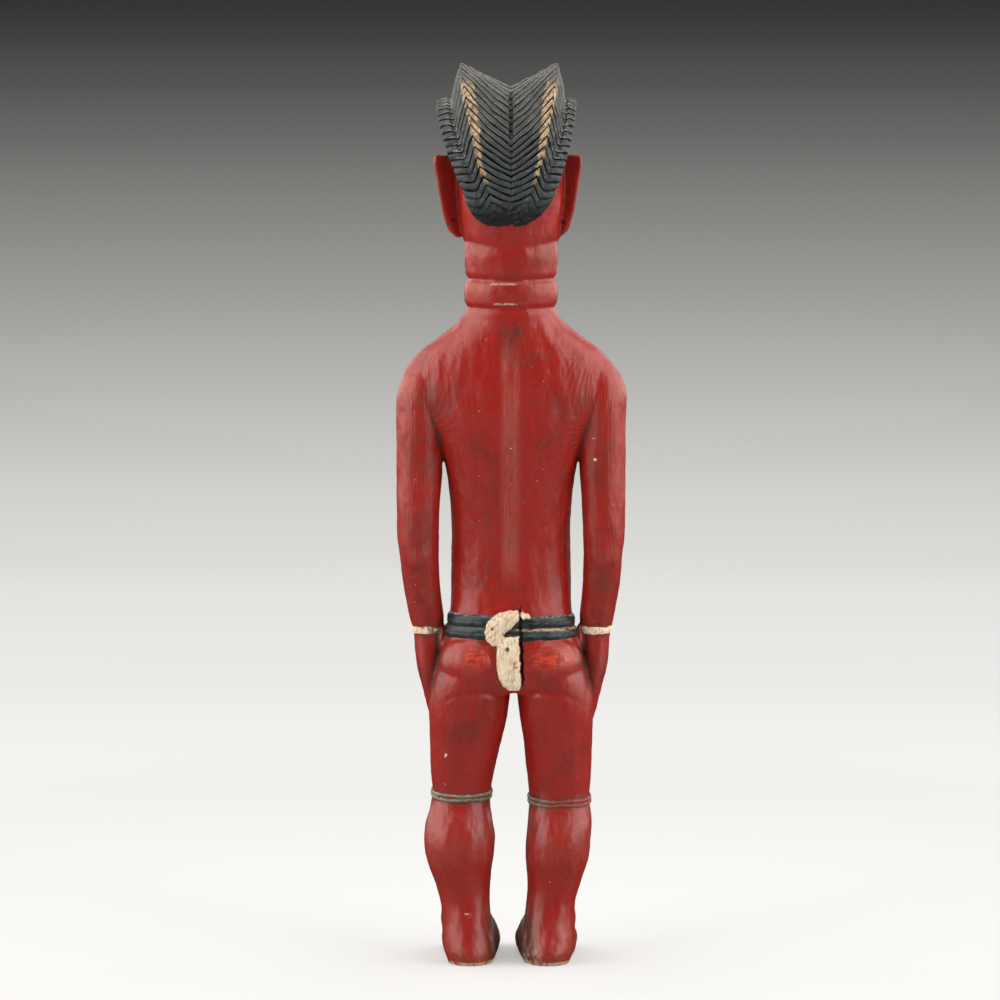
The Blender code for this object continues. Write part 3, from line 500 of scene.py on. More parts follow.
def bump(value, middle, width):
    """Give a soft bump that is 1 at its middle."""
    return np.exp(-(((value - middle) / width) ** 2))


def unevenness(points, size, seed, waves=28):
    """Give soft random unevenness round 0; size is one length or one for each axis."""
    dice = np.random.default_rng(seed)
    total = np.zeros(len(points))
    for _ in range(waves):
        way = dice.normal(size=3)
        way *= dice.uniform(0.7, 1.5) * 2 * math.pi / np.linalg.norm(way)
        total += np.sin(points @ (way / np.broadcast_to(size, 3)) + dice.uniform(0, 2 * math.pi))
    return total / math.sqrt(waves)


def loft(skin, rings):
    """Skin a stack of rings into a bmesh, and cap both ends."""
    stack = [[skin.verts.new(point) for point in ring] for ring in rings]
    for lower, upper in zip(stack, stack[1:]):
        for i, corner in enumerate(lower):
            j = (i + 1) % len(lower)
            skin.faces.new((corner, lower[j], upper[j], upper[i]))
    skin.faces.new(stack[0])
    skin.faces.new(stack[-1])


def levels_of(rows, gap=1.0):
    """Give evenly spaced positions along a table of rows."""
    ends = [row[0] for row in rows]
    return np.linspace(min(ends), max(ends), int((max(ends) - min(ends)) / gap) + 2)


def add_trunk(skin, rows):
    """Loft a form that is centred on the middle of the body."""
    rings = []
    for z in levels_of(rows):
        half, front, back, squareness = read_rows(rows, z)
        x, y = oval(half, (back - front) / 2, squareness)
        rings.append(np.column_stack((x, y + (front + back) / 2, np.full_like(x, z))))
    loft(skin, rings)


def arm_lean(side, z):
    """Tell how much further out the right arm lies at a height."""
    shoulder = RIGHT_SHOULDER_OUT * bump(z, 298.0, 16.0)
    return (side < 0) * (RIGHT_ARM_OUT * np.clip((215.0 - z) / (215.0 - WRIST), 0.0, 1.3) + shoulder)


def add_arm(skin, side):
    """Loft an arm with its hand, side 1 for the left and -1 for the right."""
    rings = []
    for z in levels_of(ARM):
        middle, half, y_middle, depth, squareness = read_rows(ARM, z)
        x, y = oval(half, depth, squareness)
        x = side * (x + middle + arm_lean(side, z))
        rings.append(np.column_stack((x, y + y_middle, np.full_like(x, z))))
    loft(skin, rings)


def leg_ring(side, z, out=0.0, points=RING_POINTS):
    """Give one level of a leg, or a ring that much further out."""
    outer, inner, front, back, squareness = read_rows(LEFT_LEG if side > 0 else RIGHT_LEG, z)
    x, y = oval((outer - inner) / 2 + out, (back - front) / 2 + out, squareness, points)
    return np.column_stack((side * (x + (outer + inner) / 2), y + (front + back) / 2, np.full_like(x, z)))


def add_leg(skin, side):
    """Loft a leg from the hip to below the heel."""
    loft(skin, [leg_ring(side, z) for z in levels_of(LEFT_LEG)])


def add_foot(skin, side):
    """Loft a foot from the heel to the toes."""
    rows = LEFT_FOOT if side > 0 else RIGHT_FOOT
    rings = []
    for y in levels_of(rows):
        outer, inner, height = read_rows(rows, y)
        x, z = oval((outer - inner) / 2, 1.0, 2.3)
        belly = min(SOLE_BELLY, height * 0.45)
        z = belly + np.where(z > 0, z * (height - belly), z * (belly + 2 * SOLE_SINK))
        rings.append(np.column_stack((side * (x + (outer + inner) / 2), np.full_like(x, y), z)))
    loft(skin, rings)


def add_ear(skin, side):
    """Loft the flat plate of an ear."""
    rings = []
    for z in levels_of(EAR):
        x_in, y_in, x_out, y_out, thick = read_rows(EAR, z)
        x_in, x_out = x_in - RIGHT_EAR_IN * (side < 0), x_out - RIGHT_EAR_IN * (side < 0)
        length = math.hypot(x_out - x_in, y_out - y_in)
        along, across = oval(length / 2, thick / 2, 3.0, 40)
        c, s = (x_out - x_in) / length, (y_out - y_in) / length
        x = (x_in + x_out) / 2 + along * c - across * s
        y = (y_in + y_out) / 2 + along * s + across * c
        rings.append(np.column_stack((side * x, y, np.full_like(x, z))))
    loft(skin, rings)


def add_ball(skin, centre, radii):
    """Add an ellipsoid."""
    made = bmesh.ops.create_uvsphere(skin, u_segments=36, v_segments=24, radius=1.0)
    bmesh.ops.scale(skin, vec=radii, verts=made["verts"])
    bmesh.ops.translate(skin, vec=centre, verts=made["verts"])


def add_plate(skin, rows):
    """Loft a piece of cloth that lies on the body."""
    rings = []
    for z in levels_of(rows):
        middle, half, front, back, squareness = read_rows(rows, z)
        x, y = oval(half, (back - front) / 2, squareness, 48)
        rings.append(np.column_stack((x + middle, y + (front + back) / 2, np.full_like(x, z))))
    loft(skin, rings)


def add_knot(skin):
    """Run the knotted end of the cloth over the belt, in short overlapping balls."""
    rows = [(place, *row) for place, row in enumerate(KNOT)]
    for x, z, share in read_rows(rows, np.linspace(0, len(KNOT) - 1, 44)):
        radius = KNOT_THICK / unit() / 2 * share
        deep = max(radius, 3.4)
        add_ball(skin, (x, KNOT_BACK - deep, z), (radius, deep, radius))


def make_piece(name, skin):
    """Turn a bmesh in units into a piece at the origin."""
    bmesh.ops.recalc_face_normals(skin, faces=skin.faces)
    mesh = bpy.data.meshes.new(name)
    skin.to_mesh(mesh)
    skin.free()
    piece = bpy.data.objects.new(name, mesh)
    bpy.context.scene.collection.objects.link(piece)
    return piece


def settle(piece):
    """Replace a piece's mesh by what its modifiers make of it."""
    bpy.context.view_layer.update()
    graph = bpy.context.evaluated_depsgraph_get()
    old = piece.data
    piece.data = bpy.data.meshes.new_from_object(piece.evaluated_get(graph))
    piece.modifiers.clear()
    bpy.data.meshes.remove(old)
    piece.data.name = piece.name


def grow_skin(piece, cell, rounds):
    """Grow one closed skin round overlapping forms, and soften it."""
    skin = piece.modifiers.new("skin", "REMESH")
    skin.mode = "VOXEL"
    skin.voxel_size = cell
    soften = piece.modifiers.new("soften", "SMOOTH")
    soften.factor = 0.5
    soften.iterations = rounds
    settle(piece)


def thin_out(piece, triangles):
    """Bring a piece down to a number of triangles."""
    now = sum(len(face.vertices) - 2 for face in piece.data.polygons)
    if now <= triangles:
        return
    thin = piece.modifiers.new("thin", "DECIMATE")
    thin.ratio = triangles / now
    settle(piece)


def spots_of(mesh):
    """Read the vertices of a mesh."""
    spots = np.empty(len(mesh.vertices) * 3)
    mesh.vertices.foreach_get("co", spots)
    return spots.reshape(-1, 3)


def facing_of(mesh):
    """Read the vertex normals of a mesh."""
    facing = np.empty(len(mesh.vertices) * 3)
    mesh.vertex_normals.foreach_get("vector", facing)
    return facing.reshape(-1, 3)


def move_spots(mesh, spots):
    """Write the vertices of a mesh."""
    mesh.vertices.foreach_set("co", np.ascontiguousarray(spots, dtype=np.float32).ravel())
    mesh.update()


def note(mesh, name, values):
    """Keep one number for each vertex, for the paint to read."""
    kept = mesh.attributes.new(name, "FLOAT", "POINT")
    kept.data.foreach_set("value", np.ascontiguousarray(values, dtype=np.float32))


def hollows(mesh, rounds, reach):
    """Tell how hollow or raised each vertex lies, by comparing it with its surroundings."""
    spots = spots_of(mesh)
    pairs = np.empty(len(mesh.edges) * 2, dtype=np.int32)
    mesh.edges.foreach_get("vertices", pairs)
    first, second = pairs.reshape(-1, 2).T
    count = len(spots)
    friends = np.bincount(first, minlength=count) + np.bincount(second, minlength=count)
    calm = spots.copy()
    for _ in range(rounds):
        for axis in range(3):
            total = (
                np.bincount(first, calm[second, axis], count) + np.bincount(second, calm[first, axis], count)
            )
            calm[:, axis] += 0.6 * (total / np.maximum(friends, 1) - calm[:, axis])
    lift = np.einsum("ij,ij->i", spots - calm, facing_of(mesh))
    return np.clip(lift / reach, -1.0, 1.0)


def back_furrow(points, normals):
    """Give the depth, from 0 to 1, of the furrow down the back."""
    x, _, z = points.T
    return bump(x, 0.0, 4.2) * step(182, 196, z) * (1 - step(300, 322, z)) * step(0.3, 0.8, normals[:, 1])


def finger_relief(points, normals):
    """Give the cuts between the fingers and the nails."""
    x, y, z = points.T
    side = np.where(x > 0, 1.0, -1.0)
    _, _, y_middle, depth, _ = read_rows(ARM, z).T
    share = (y - y_middle) / depth
    hand = step(34.0, 36.5, np.abs(x)) * (z > 117) * (y > -17.5)
    cut = sum(bump(share, place, 0.075) for place in (-0.46, 0.0, 0.46))
    outward = side * normals[:, 0]
    cut = (
        np.minimum(cut, 1.0) * step(150, 142, z) * (step(0.1, 0.5, outward) + 0.6 * step(0.1, 0.5, -outward))
    )
    nail = sum(bump(share, place, 0.10) for place in (-0.66, -0.23, 0.23, 0.66))
    nail = nail * bump(z, 123.5, 2.2) * step(0.3, 0.6, outward)
    return -hand * (1.25 * cut + 0.25 * nail)


def toe_relief(points):
    """Give the cuts between the toes and the nails."""
    x, y, z = points.T
    share = np.full(len(points), -1.0)
    for side, rows in ((1, LEFT_FOOT), (-1, RIGHT_FOOT)):
        outer, inner, _ = read_rows(rows, TOE_START)
        share = np.where(side * x > 0, (side * x - inner) / (outer - inner), share)
    cut = np.minimum(sum(bump(share, place, 0.020) for place in TOE_CUTS), 1.0)
    nail = sum(bump(share, place, 0.055) for place in (0.17, 0.435, 0.615, 0.78, 0.93))
    nail = nail * bump(y, -42.5, 1.8) * (z > 4)
    return -(1.7 * cut * step(TOE_START, TOE_START - 4.0, y) + 0.3 * nail) * (z < 16) * (y < TOE_START)


def swellings(rows, points):
    """Add up soft swellings, each the same on both sides."""
    across, _, z = np.abs(points.T)
    total = 0.0
    for middle, height, wide, tall, out in rows:
        total = total + out * bump(across, middle, wide) * bump(z, height, tall)
    return total


def face_relief(points, normals):
    """Give how far the calm, plain face stands forward at each point."""
    x, y, z = points.T
    across = np.abs(x)
    down = np.clip((NOSE_ROOT - z) / (NOSE_ROOT - NOSE_TIP), 0.0, 1.0)
    bridge = (1.7 + 4.0 * down**1.3) * np.exp(-((across / (2.7 + 1.9 * down)) ** 2.2))
    nose = bridge * step(NOSE_TIP - 1.9, NOSE_TIP + 1.5, z) * (1 - step(NOSE_ROOT - 3.0, NOSE_ROOT + 6.0, z))
    wings = 1.5 * bump(across, 4.5, 1.5) * bump(z, 370.9, 1.9)
    nostrils = -1.0 * bump(across, 2.3, 0.9) * bump(z, NOSE_TIP - 1.1, 0.8)
    eye = (across - LID_OUT) / 6.2
    inside = step(1.05, 0.85, np.abs(eye))
    lids = LID_LINE + 0.9 * eye**2
    slit = -0.55 * bump(z, lids, 0.42) * inside
    lash = 0.30 * bump(z, lids + 0.95, 0.5) * inside
    fold = -0.45 * bump(z, LID_LINE + 5.0 - 2.6 * eye**2, 0.5) * inside
    brow = 0.7 * bump(z, 392.6 - 0.045 * np.abs(across - 7.0) ** 1.8, 1.0) * (1 - step(16.5, 19.5, across))
    brow = brow * step(2.5, 5.0, across)
    bow = MOUTH + 0.35 * bump(across, 2.4, 1.6) - 0.05 * across
    mouth = -1.0 * bump(z, bow, 0.5) * (1 - step(6.0, 7.8, across))
    groove = -0.5 * bump(across, 0.0, 0.9) * bump(z, 365.4, 1.7)
    corners = -0.4 * bump(across, 7.6, 1.2) * bump(z, MOUTH - 0.3, 1.2)
    relief = (
        swellings(FACE, points)
        + nose
        + wings
        + nostrils
        + slit
        + lash
        + fold
        + brow
        + mouth
        + groove
        + corners
    )
    return relief * step(0.1, 0.5, -normals[:, 1]) * step(346, 349, z) * (1 - step(402, 408, z)) * (y < -8)


def front_relief(points, normals):
    """Give how far breast, belly, navel and knees stand out at each point."""
    x, y, z = points.T
    knees = (
        1.6 * bump(np.abs(x), 24.0, 8.0) * bump(z, 92.0, 7.0)
        - 0.7 * bump(np.abs(x), 24.0, 9.0) * bump(z, 81.0, 3.0)
    )
    shins = 0.8 * bump(np.abs(x), 23.0, 3.0) * bump(z, 50.0, 18.0)
    collar = (
        0.6 * bump(z, 301.0 - 0.12 * np.abs(x), 2.6) * step(4, 9, np.abs(x)) * (1 - step(30, 36, np.abs(x)))
    )
    ring = -0.5 * bump(np.hypot(x, z - 197.0), 3.4, 0.8)
    mask = step(0.2, 0.7, -normals[:, 1]) * (y < -8) * (z < 330)
    return (swellings(FRONT, points) + knees + shins + collar + ring) * mask


def ear_relief(points, normals):
    """Give the shell carved into the front of the ears and the rim round their backs."""
    x, _, z = points.T
    x_in, _, x_out, _, _ = read_rows(EAR, z).T
    share = (np.abs(x) + RIGHT_EAR_IN * (x < 0) - x_in) / np.maximum(x_out - x_in, 1.0)
    mask = step(24.3, 26.5, np.abs(x) + RIGHT_EAR_IN * (x < 0)) * (z > 362) * (z < 406)
    inside = step(0.98, 0.78, share) * step(404.0, 400.5, z) * step(366.0, 370.0, z)
    shell = -1.1 * inside * step(0.2, 0.6, -normals[:, 1])
    fold = (
        0.7 * bump(share, 0.45, 0.10) * step(378, 382, z) * step(398, 394, z) * step(0.2, 0.6, -normals[:, 1])
    )
    rim = -0.35 * inside * step(0.5, 0.8, normals[:, 1])
    return (shell + fold + rim) * mask


def limb_relief(points, normals):
    """Give shoulder blades, elbows, hamstrings, calves, heels and ankle bones."""
    x, y, z = points.T
    across = np.abs(x)
    back = step(0.1, 0.6, normals[:, 1])
    front = step(0.1, 0.6, -normals[:, 1])
    blades = 0.7 * bump(across, 21.0, 9.0) * bump(z, 266.0, 13.0) * back
    elbows = (0.9 * bump(z, 204.0, 5.0) - 0.4 * bump(z, 196.0, 5.0)) * bump(across, 46.5, 6.0) * back
    crease = -0.35 * bump(z, 205.0, 1.4) * step(35, 39, across) * front
    strings = 0.4 * (bump(across, 31.0, 3.0) + bump(across, 18.0, 3.0)) * bump(z, 96.0, 12.0) * back
    cord = -0.5 * bump(across, 22.0, 2.2) * bump(z, 30.0, 12.0) * back
    ankles = (
        1.0
        * bump(z, 21.0, 4.2)
        * bump(y, 1.0, 4.5)
        * step(20.0, 24.0, across)
        * step(0.2, 0.7, np.abs(normals[:, 0]))
    )
    fold = -0.9 * bump(z, 137.4 - 0.02 * (across - 18.0) ** 2, 1.5) * bump(across, 18.0, 11.0) * back
    return blades + elbows + crease + strings + cord + ankles + fold


def crack_depth(points):
    """Give the depth of the drying crack that runs through cloth, belt and buttock."""
    x, y, z = points.T
    line = CRACK_TOP[0] + (CRACK_TOP[1] - z) * CRACK_SLANT + 0.25 * np.sin(z * 0.9) + 0.15 * np.sin(z * 2.3)
    open_here = step(CRACK_TOP[1] + 1.0, CRACK_TOP[1] - 7.0, z) * step(CRACK_FOOT - 1.0, CRACK_FOOT + 9.0, z)
    return 2.6 * bump(x, line, 0.62) * open_here * (y > 8)


def knife_marks(points):
    """Give the unevenness that knife and rasp left under the paint."""
    facets = 0.14 * unevenness(points, (7.0, 7.0, 22.0), 11)
    dents = 0.05 * unevenness(points, (2.6, 2.6, 6.0), 12, 36)
    return facets + dents


def growth_rings(points):
    """Give the ridges that the wood's growth rings raise through the paint."""
    x, y, z = points.T
    centre = np.hypot(x, y + RING_AXIS) + 0.3 * unevenness(points, (60.0, 60.0, 160.0), 13, 12)
    where = 0.5 + 0.5 * unevenness(points, 26.0, 14, 16)
    sides = (
        step(20.0, 32.0, np.abs(x)) * step(176.0, 200.0, z)
        + 0.5 * step(300.0, 312.0, z) * step(346.0, 338.0, z)
    )
    return 0.034 * np.sin(centre * 2 * math.pi / RING_PITCH) * np.clip(where, 0.0, 1.0) * np.clip(sides, 0, 1)


def carve_body(mesh):
    """Cut the relief into the fused skin, in units."""
    points = spots_of(mesh)
    points[:, 2] += FORK[3] * bump(points[:, 0], FORK[0], FORK[2]) * bump(points[:, 2], FORK[1], FORK[2])
    normals = facing_of(mesh)
    out = finger_relief(points, normals) + toe_relief(points) + ear_relief(points, normals)
    out += limb_relief(points, normals) - 1.3 * back_furrow(points, normals)
    calm_face = 1 - 0.7 * step(0.2, 0.6, -normals[:, 1]) * step(345, 350, points[:, 2])
    out += (knife_marks(points) + growth_rings(points)) * calm_face - crack_depth(points)
    for x, y, z, radius, depth in PITS:
        gap = np.linalg.norm(points - (x, y, z), axis=1)
        out -= depth * bump(gap, 0.0, radius)
    moved = points + normals * out[:, None]
    moved[:, 1] -= face_relief(points, normals) + front_relief(points, normals)
    move_spots(mesh, moved)


def place_mesh(piece):
    """Turn a mesh in units into metres, set over the figure's own middle."""
    spots = spots_of(piece.data) + (MIDDLE[0], MIDDLE[1], 0.0)
    move_spots(piece.data, spots * unit())


def finish_piece(piece, material):
    """Smooth, paint, place and ride a piece, and let it stand for the solid."""
    piece.data.shade_smooth()
    piece.data.materials.clear()
    piece.data.materials.append(material)
    place_mesh(piece)
    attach(piece, "root")
    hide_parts("figure")


def cut_soles(piece):
    """Cut the feet off flat at the ground."""
    body = bmesh.new()
    body.from_mesh(piece.data)
    everything = body.verts[:] + body.edges[:] + body.faces[:]
    bmesh.ops.bisect_plane(body, geom=everything, plane_co=(0, 0, 0), plane_no=(0, 0, 1), clear_inner=True)
    rim = [edge for edge in body.edges if edge.is_boundary]
    made = bmesh.ops.holes_fill(body, edges=rim, sides=0)
    bmesh.ops.triangulate(body, faces=made["faces"])
    bmesh.ops.recalc_face_normals(body, faces=body.faces)
    body.to_mesh(piece.data)
    body.free()


def ring_mesh(name, rings, closed=False):
    """Make a piece from rings of equal length; closed rings of rings have no ends."""
    count, around = rings.shape[:2]
    first = np.arange(count if closed else count - 1)
    i, j = np.meshgrid(first, np.arange(around), indexing="ij")
    i, j = i.ravel(), j.ravel()
    after, beside = (i + 1) % count, (j + 1) % around
    faces = np.column_stack(
        (i * around + j, after * around + j, after * around + beside, i * around + beside)
    ).tolist()
    if not closed:
        faces += [list(range(around)), list(range((count - 1) * around, count * around))]
    mesh = bpy.data.meshes.new(name)
    mesh.from_pydata(rings.reshape(-1, 3).tolist(), [], faces)
    skin = bmesh.new()
    skin.from_mesh(mesh)
    bmesh.ops.recalc_face_normals(skin, faces=skin.faces)
    skin.to_mesh(mesh)
    skin.free()
    piece = bpy.data.objects.new(name, mesh)
    bpy.context.scene.collection.objects.link(piece)
    return piece


def hair_run():
    """Give angles from forehead to nape and the length of the valley up to each."""
    angles = np.linspace(HAIR[0][0], HAIR[-1][0], 400)
    turn = np.radians(angles)
    radius = read_rows(HAIR, angles)[:, 0]
    run = np.hypot(np.diff(radius * np.cos(turn)), np.diff(radius * np.sin(turn)))
    return angles, np.concatenate(([0.0], np.cumsum(run)))


def hair_spots(angles, shares):
    """Give across and radius of the half section at angles, for shares along its columns."""
    rows = read_rows(HAIR, angles)
    valley = rows[..., 0]
    pairs = rows[..., 1:].reshape(*rows.shape[:-1], 5, 2)
    crest, foot = pairs[..., 0, :], pairs[..., 1, :]
    floor = np.stack((np.zeros_like(valley), valley), axis=-1)
    middle = np.stack((crest[..., 0] * 0.5, (valley + crest[..., 1]) * 0.5 - 0.5), axis=-1)
    flank = (crest + foot) / 2 + (0.6, 0.0)
    columns = np.stack(
        (floor, middle, crest, flank, foot, pairs[..., 2, :], pairs[..., 3, :], pairs[..., 4, :]), axis=-2
    )
    low = np.minimum(shares.astype(int), 6)
    t = (shares - low)[..., None]
    at = np.arange(len(shares))
    return columns[..., at, low, :] * (1 - t) + columns[..., at, low + 1, :] * t


def hair_shares():
    """Give the places of the fine columns between the eight of the half section."""
    counts = (24, 26, 14, 14, 5, 10, 18)
    return np.concatenate([k + np.arange(n) / n for k, n in enumerate(counts)] + [[7.0]])


def hair_rings():
    """Give the smooth rings of the hair, each slanted along a lock, and where they lie."""
    angles, run = hair_run()
    locks = int(run[-1] * unit() / sizes().lock_pitch)
    parts = np.array((0.0, 0.05, 0.11, 0.20, 0.34, 0.50, 0.66, 0.80, 0.89, 0.95))
    along = np.append((np.arange(locks)[:, None] + parts).ravel(), locks) * run[-1] / locks
    part = np.append(np.tile(parts, locks), 0.0)
    lock = np.append(np.repeat(np.arange(locks), len(parts)), locks)
    shares = hair_shares()
    straight = np.repeat(np.interp(along, run, angles)[:, None], len(shares), axis=1)
    out = hair_spots(straight, shares)[..., 0]
    crest = read_rows(HAIR, straight[:, :1])[..., 1]
    foot = read_rows(HAIR, straight[:, :1])[..., 3]
    inward = np.clip((crest - out) / crest, 0.0, 1.0)
    slope = CHEVRON_SLOPE * (1 - (1 - CHEVRON_CALM) * step(118.0, 172.0, straight[:, :1]))
    inner = slope * crest * ((1 + CHEVRON_SAG) * inward - CHEVRON_SAG * inward**2)
    slant = np.where(out < crest, inner, FLANK_SLOPE * (np.minimum(out, foot) - crest))
    slant[:, shares > 5.0] = slant[:, [int(np.argmin(np.abs(shares - 5.0)))]]
    fade = np.minimum(1.0, np.minimum(along / LEVEL_FRONT, (run[-1] - along) / LEVEL_NAPE))
    here = np.stack(np.broadcast_arrays(along[:, None], out, 0.0), axis=-1).reshape(-1, 3)
    wander = unevenness(here, (5.5, 9.0, 9.0), 20, 24).reshape(out.shape) * step(0.0, 8.0, along)[:, None]
    spots = along[:, None] + slant * fade[:, None] + 0.34 * wander * step(0.0, 8.0, run[-1] - along)[:, None]
    turned = np.interp(spots, run, angles)
    flat = hair_spots(turned, shares)
    for _ in range(5):
        flat[:, 1:-1] = flat[:, 1:-1] * 0.5 + (flat[:, :-2] + flat[:, 2:]) * 0.25
    return turned, flat, part, lock, shares


def place_hair(turned, flat):
    """Turn angles with across and radius into places."""
    turn = np.radians(turned)
    y = HAIR_AXIS[0] - flat[..., 1] * np.cos(turn)
    z = HAIR_AXIS[1] + flat[..., 1] * np.sin(turn)
    return np.stack((flat[..., 0], y, z), axis=-1)


def lock_shape(part, height):
    """Give the height of a lock of hair across its width, with finer strokes in it."""
    cut = bump(part, 0.0, 0.13) + bump(part, 1.0, 0.13)
    strokes = 0.8 * bump(part, 0.36, 0.07) + 0.9 * bump(part, 0.66, 0.06)
    fine = 0.26 + 0.24 * step(396, 424, height)
    shingle = 0.34 * (part - 0.5)
    crown = -0.40 * (2 * part - 1) ** 4
    return -cut + shingle + crown - fine * strokes


def right_half(places):
    """Turn places on the left half of the hair into those on the slimmer right half."""
    x, y, z = np.moveaxis(places, -1, 0)
    share = RIGHT_HAIR[0] - RIGHT_HAIR[1] * step(24.0, 38.0, x)
    return np.stack((-x * share, y, z), axis=-1)


def both_halves(values):
    """Carry values from the left half of the hair round to the right half."""
    return np.concatenate((values, values[:, :0:-1]), axis=1)


def build_hair(name):
    """Make the combed hair with its locks, crack and worn crests."""
    turned, flat, part, lock, shares = hair_rings()
    places = place_hair(turned, flat)
    around = np.gradient(places, axis=1)
    ahead = np.gradient(places, axis=0)
    up = np.cross(around, ahead)
    up /= np.maximum(np.linalg.norm(up, axis=2, keepdims=True), 1e-9)
    outward = np.sign(np.einsum("ijk,ijk->ij", up, places - (0.0, HAIR_AXIS[0], HAIR_AXIS[1] - 8.0)))
    up *= outward[..., None]
    depth = np.interp(
        shares, (0, 0.25, 1, 2, 3, 4, 5, 6, 6.4, 7), (0.5, 0.95, 1.0, 0.85, 0.55, 0.4, 0.75, 0.6, 0.3, 0.0)
    )
    halves = []
    for seed in (0, 1):
        x, y, z = np.moveaxis(places, 2, 0)
        dice = np.random.default_rng(5 + seed)
        strength = dice.uniform(0.65, 1.15, lock.max() + 1)[lock]
        shape = lock_shape(part[:, None], z)
        calm = 1 - 0.9 * step(387.0, 379.0, z) * (y > 0)
        patchy = (
            0.85 + 0.28 * unevenness(places.reshape(-1, 3), (7.0, 7.0, 7.0), 23 + seed, 24).reshape(x.shape)
        )
        out = shape * depth * strength[:, None] * calm * patchy * sizes().lock_depth / unit()
        out -= 0.75 * bump(x, 0.2, 0.55) * step(376, 380, z) * (y > 10)
        crack = 2.2 * bump(x, 0.15, 0.30) * step(439.5, 436, z) * step(412, 418, z) * (y > 8)
        out -= crack
        out += 0.11 * unevenness(places.reshape(-1, 3), (3.2, 3.2, 3.2), 21 + seed, 30).reshape(x.shape)
        out += (
            0.16
            * unevenness(places.reshape(-1, 3), (9.0, 9.0, 9.0), 25 + seed, 20).reshape(x.shape)
            * step(1.0, 6.0, x)
        )
        halves.append(places + up * out[..., None])
    rings = np.concatenate((halves[0], right_half(halves[1])[:, :0:-1]), axis=1)
    rings[..., 0] += NAPE_SHIFT * step(386.0, 372.0, rings[..., 2]) * (rings[..., 1] > 0)
    piece = ring_mesh(name, rings)
    crest = read_rows(HAIR, turned)[..., 1:3]
    ridge = (
        np.hypot(flat[..., 0] - crest[..., 0], flat[..., 1] - crest[..., 1]) * np.where(shares < 2, -1.0, 1.0)
    )
    top = np.clip(1.0 + shape, 0.0, 1.0)
    edge = np.broadcast_to(bump(part[:, None], 0.84, 0.07) * step(0.4, 0.9, calm), x.shape)
    side = np.broadcast_to(step(3.5, 4.0, shares) * step(5.6, 5.0, shares), x.shape)
    for label, values in (
        ("ridge", ridge), ("lock_top", top), ("lock_edge", edge), ("side_crest", side), ("crack", crack)
    ):
        note(piece.data, label, both_halves(values).ravel())
    return piece


def band_rings(path, out_ways, profile_out, profile_up):
    """Sweep a cross section, given outward and upward for each place, round a path."""
    return (
        path[:, None, :]
        + out_ways[:, None, :] * profile_out[..., None]
        + np.array((0, 0, 1.0)) * profile_up[..., None]
    )


def out_of(path):
    """Give the level outward direction of a closed path round a limb."""
    ahead = np.roll(path, -1, axis=0) - np.roll(path, 1, axis=0)
    out = np.column_stack((ahead[:, 1], -ahead[:, 0], np.zeros(len(path))))
    out /= np.linalg.norm(out, axis=1, keepdims=True)
    middle = path.mean(axis=0)
    return out * np.sign(np.einsum("ij,ij->i", out, path - middle))[:, None]


def build_cord(name, path, thick, proud, seed, groove=0.0, twist=0.0, flat=1.0, around=28):
    """Carve a cord round a limb: groove runs along its face, twist winds round it."""
    count = len(path)
    turn = np.linspace(0, 2 * math.pi, around, endpoint=False)
    run = np.concatenate(([0.0], np.cumsum(np.linalg.norm(np.diff(path, axis=0), axis=1))))
    across = np.cos(turn)[None, :]
    up = np.sin(turn)[None, :]
    radius = np.full((count, around), thick / 2)
    radius -= groove * bump((turn[None, :] + math.pi) % (2 * math.pi) - math.pi, 0.0, 0.30)
    if twist:
        wound = run[:, None] * 2 * math.pi / twist + turn[None, :]
        radius -= 0.12 * np.abs(np.cos(wound)) ** 6
    spots = path[:, None, :] + np.stack((across * 3 + 0 * radius, up * 3 + 0 * radius, 0 * radius), axis=-1)
    radius += 0.10 * unevenness(spots.reshape(-1, 3), (4.0, 4.0, 2.0), seed, 30).reshape(radius.shape)
    radius += 0.16 * unevenness(spots.reshape(-1, 3), (11.0, 11.0, 30.0), seed + 1, 16).reshape(radius.shape)
    middle = path + out_of(path) * (proud - thick / 2 * flat)
    rings = band_rings(middle, out_of(path), radius * across * flat, radius * up)
    piece = ring_mesh(name, rings, closed=True)
    note(piece.data, "girth", np.broadcast_to(up, radius.shape).ravel())
    return piece


def join_pieces(name, pieces):
    """Join pieces of one kind into one."""
    whole = bmesh.new()
    for piece in pieces:
        whole.from_mesh(piece.data)
        old = piece.data
        bpy.data.objects.remove(piece)
        bpy.data.meshes.remove(old)
    return make_piece(name, whole)


def belt_height(x, height):
    """Give the height of a belt cord, which hangs lower on the right."""
    return height - BELT_FALL * (0.5 - x / 66.0)


def belt_path(height, points=420):
    """Give the path of a belt cord round the waist."""
    half, front, back, squareness = read_rows(TRUNK, height)
    x, y = oval(half, (back - front) / 2, squareness, points)
    return np.column_stack((x, y + (front + back) / 2, belt_height(x, height)))


def even_path(path, points):
    """Space the points of a closed path evenly."""
    closed = np.vstack((path, path[:1]))
    run = np.concatenate(([0.0], np.cumsum(np.linalg.norm(np.diff(closed, axis=0), axis=1))))
    where = np.linspace(0.0, run[-1], points, endpoint=False)
    return np.column_stack([np.interp(where, run, closed[:, axis]) for axis in range(3)])


def garter_path(side, height, points=300):
    """Give the path of a garter cord, which dips behind the knee."""
    ring = leg_ring(side, height, 0.0, points)
    ring[:, 2] -= GARTER_DIP * np.clip(ring[:, 1] / 10.0, -1.0, 1.0)
    ring[:, 2] += 0.22 * np.sin(ring[:, 0] * 0.35 + height)
    return even_path(ring, points)


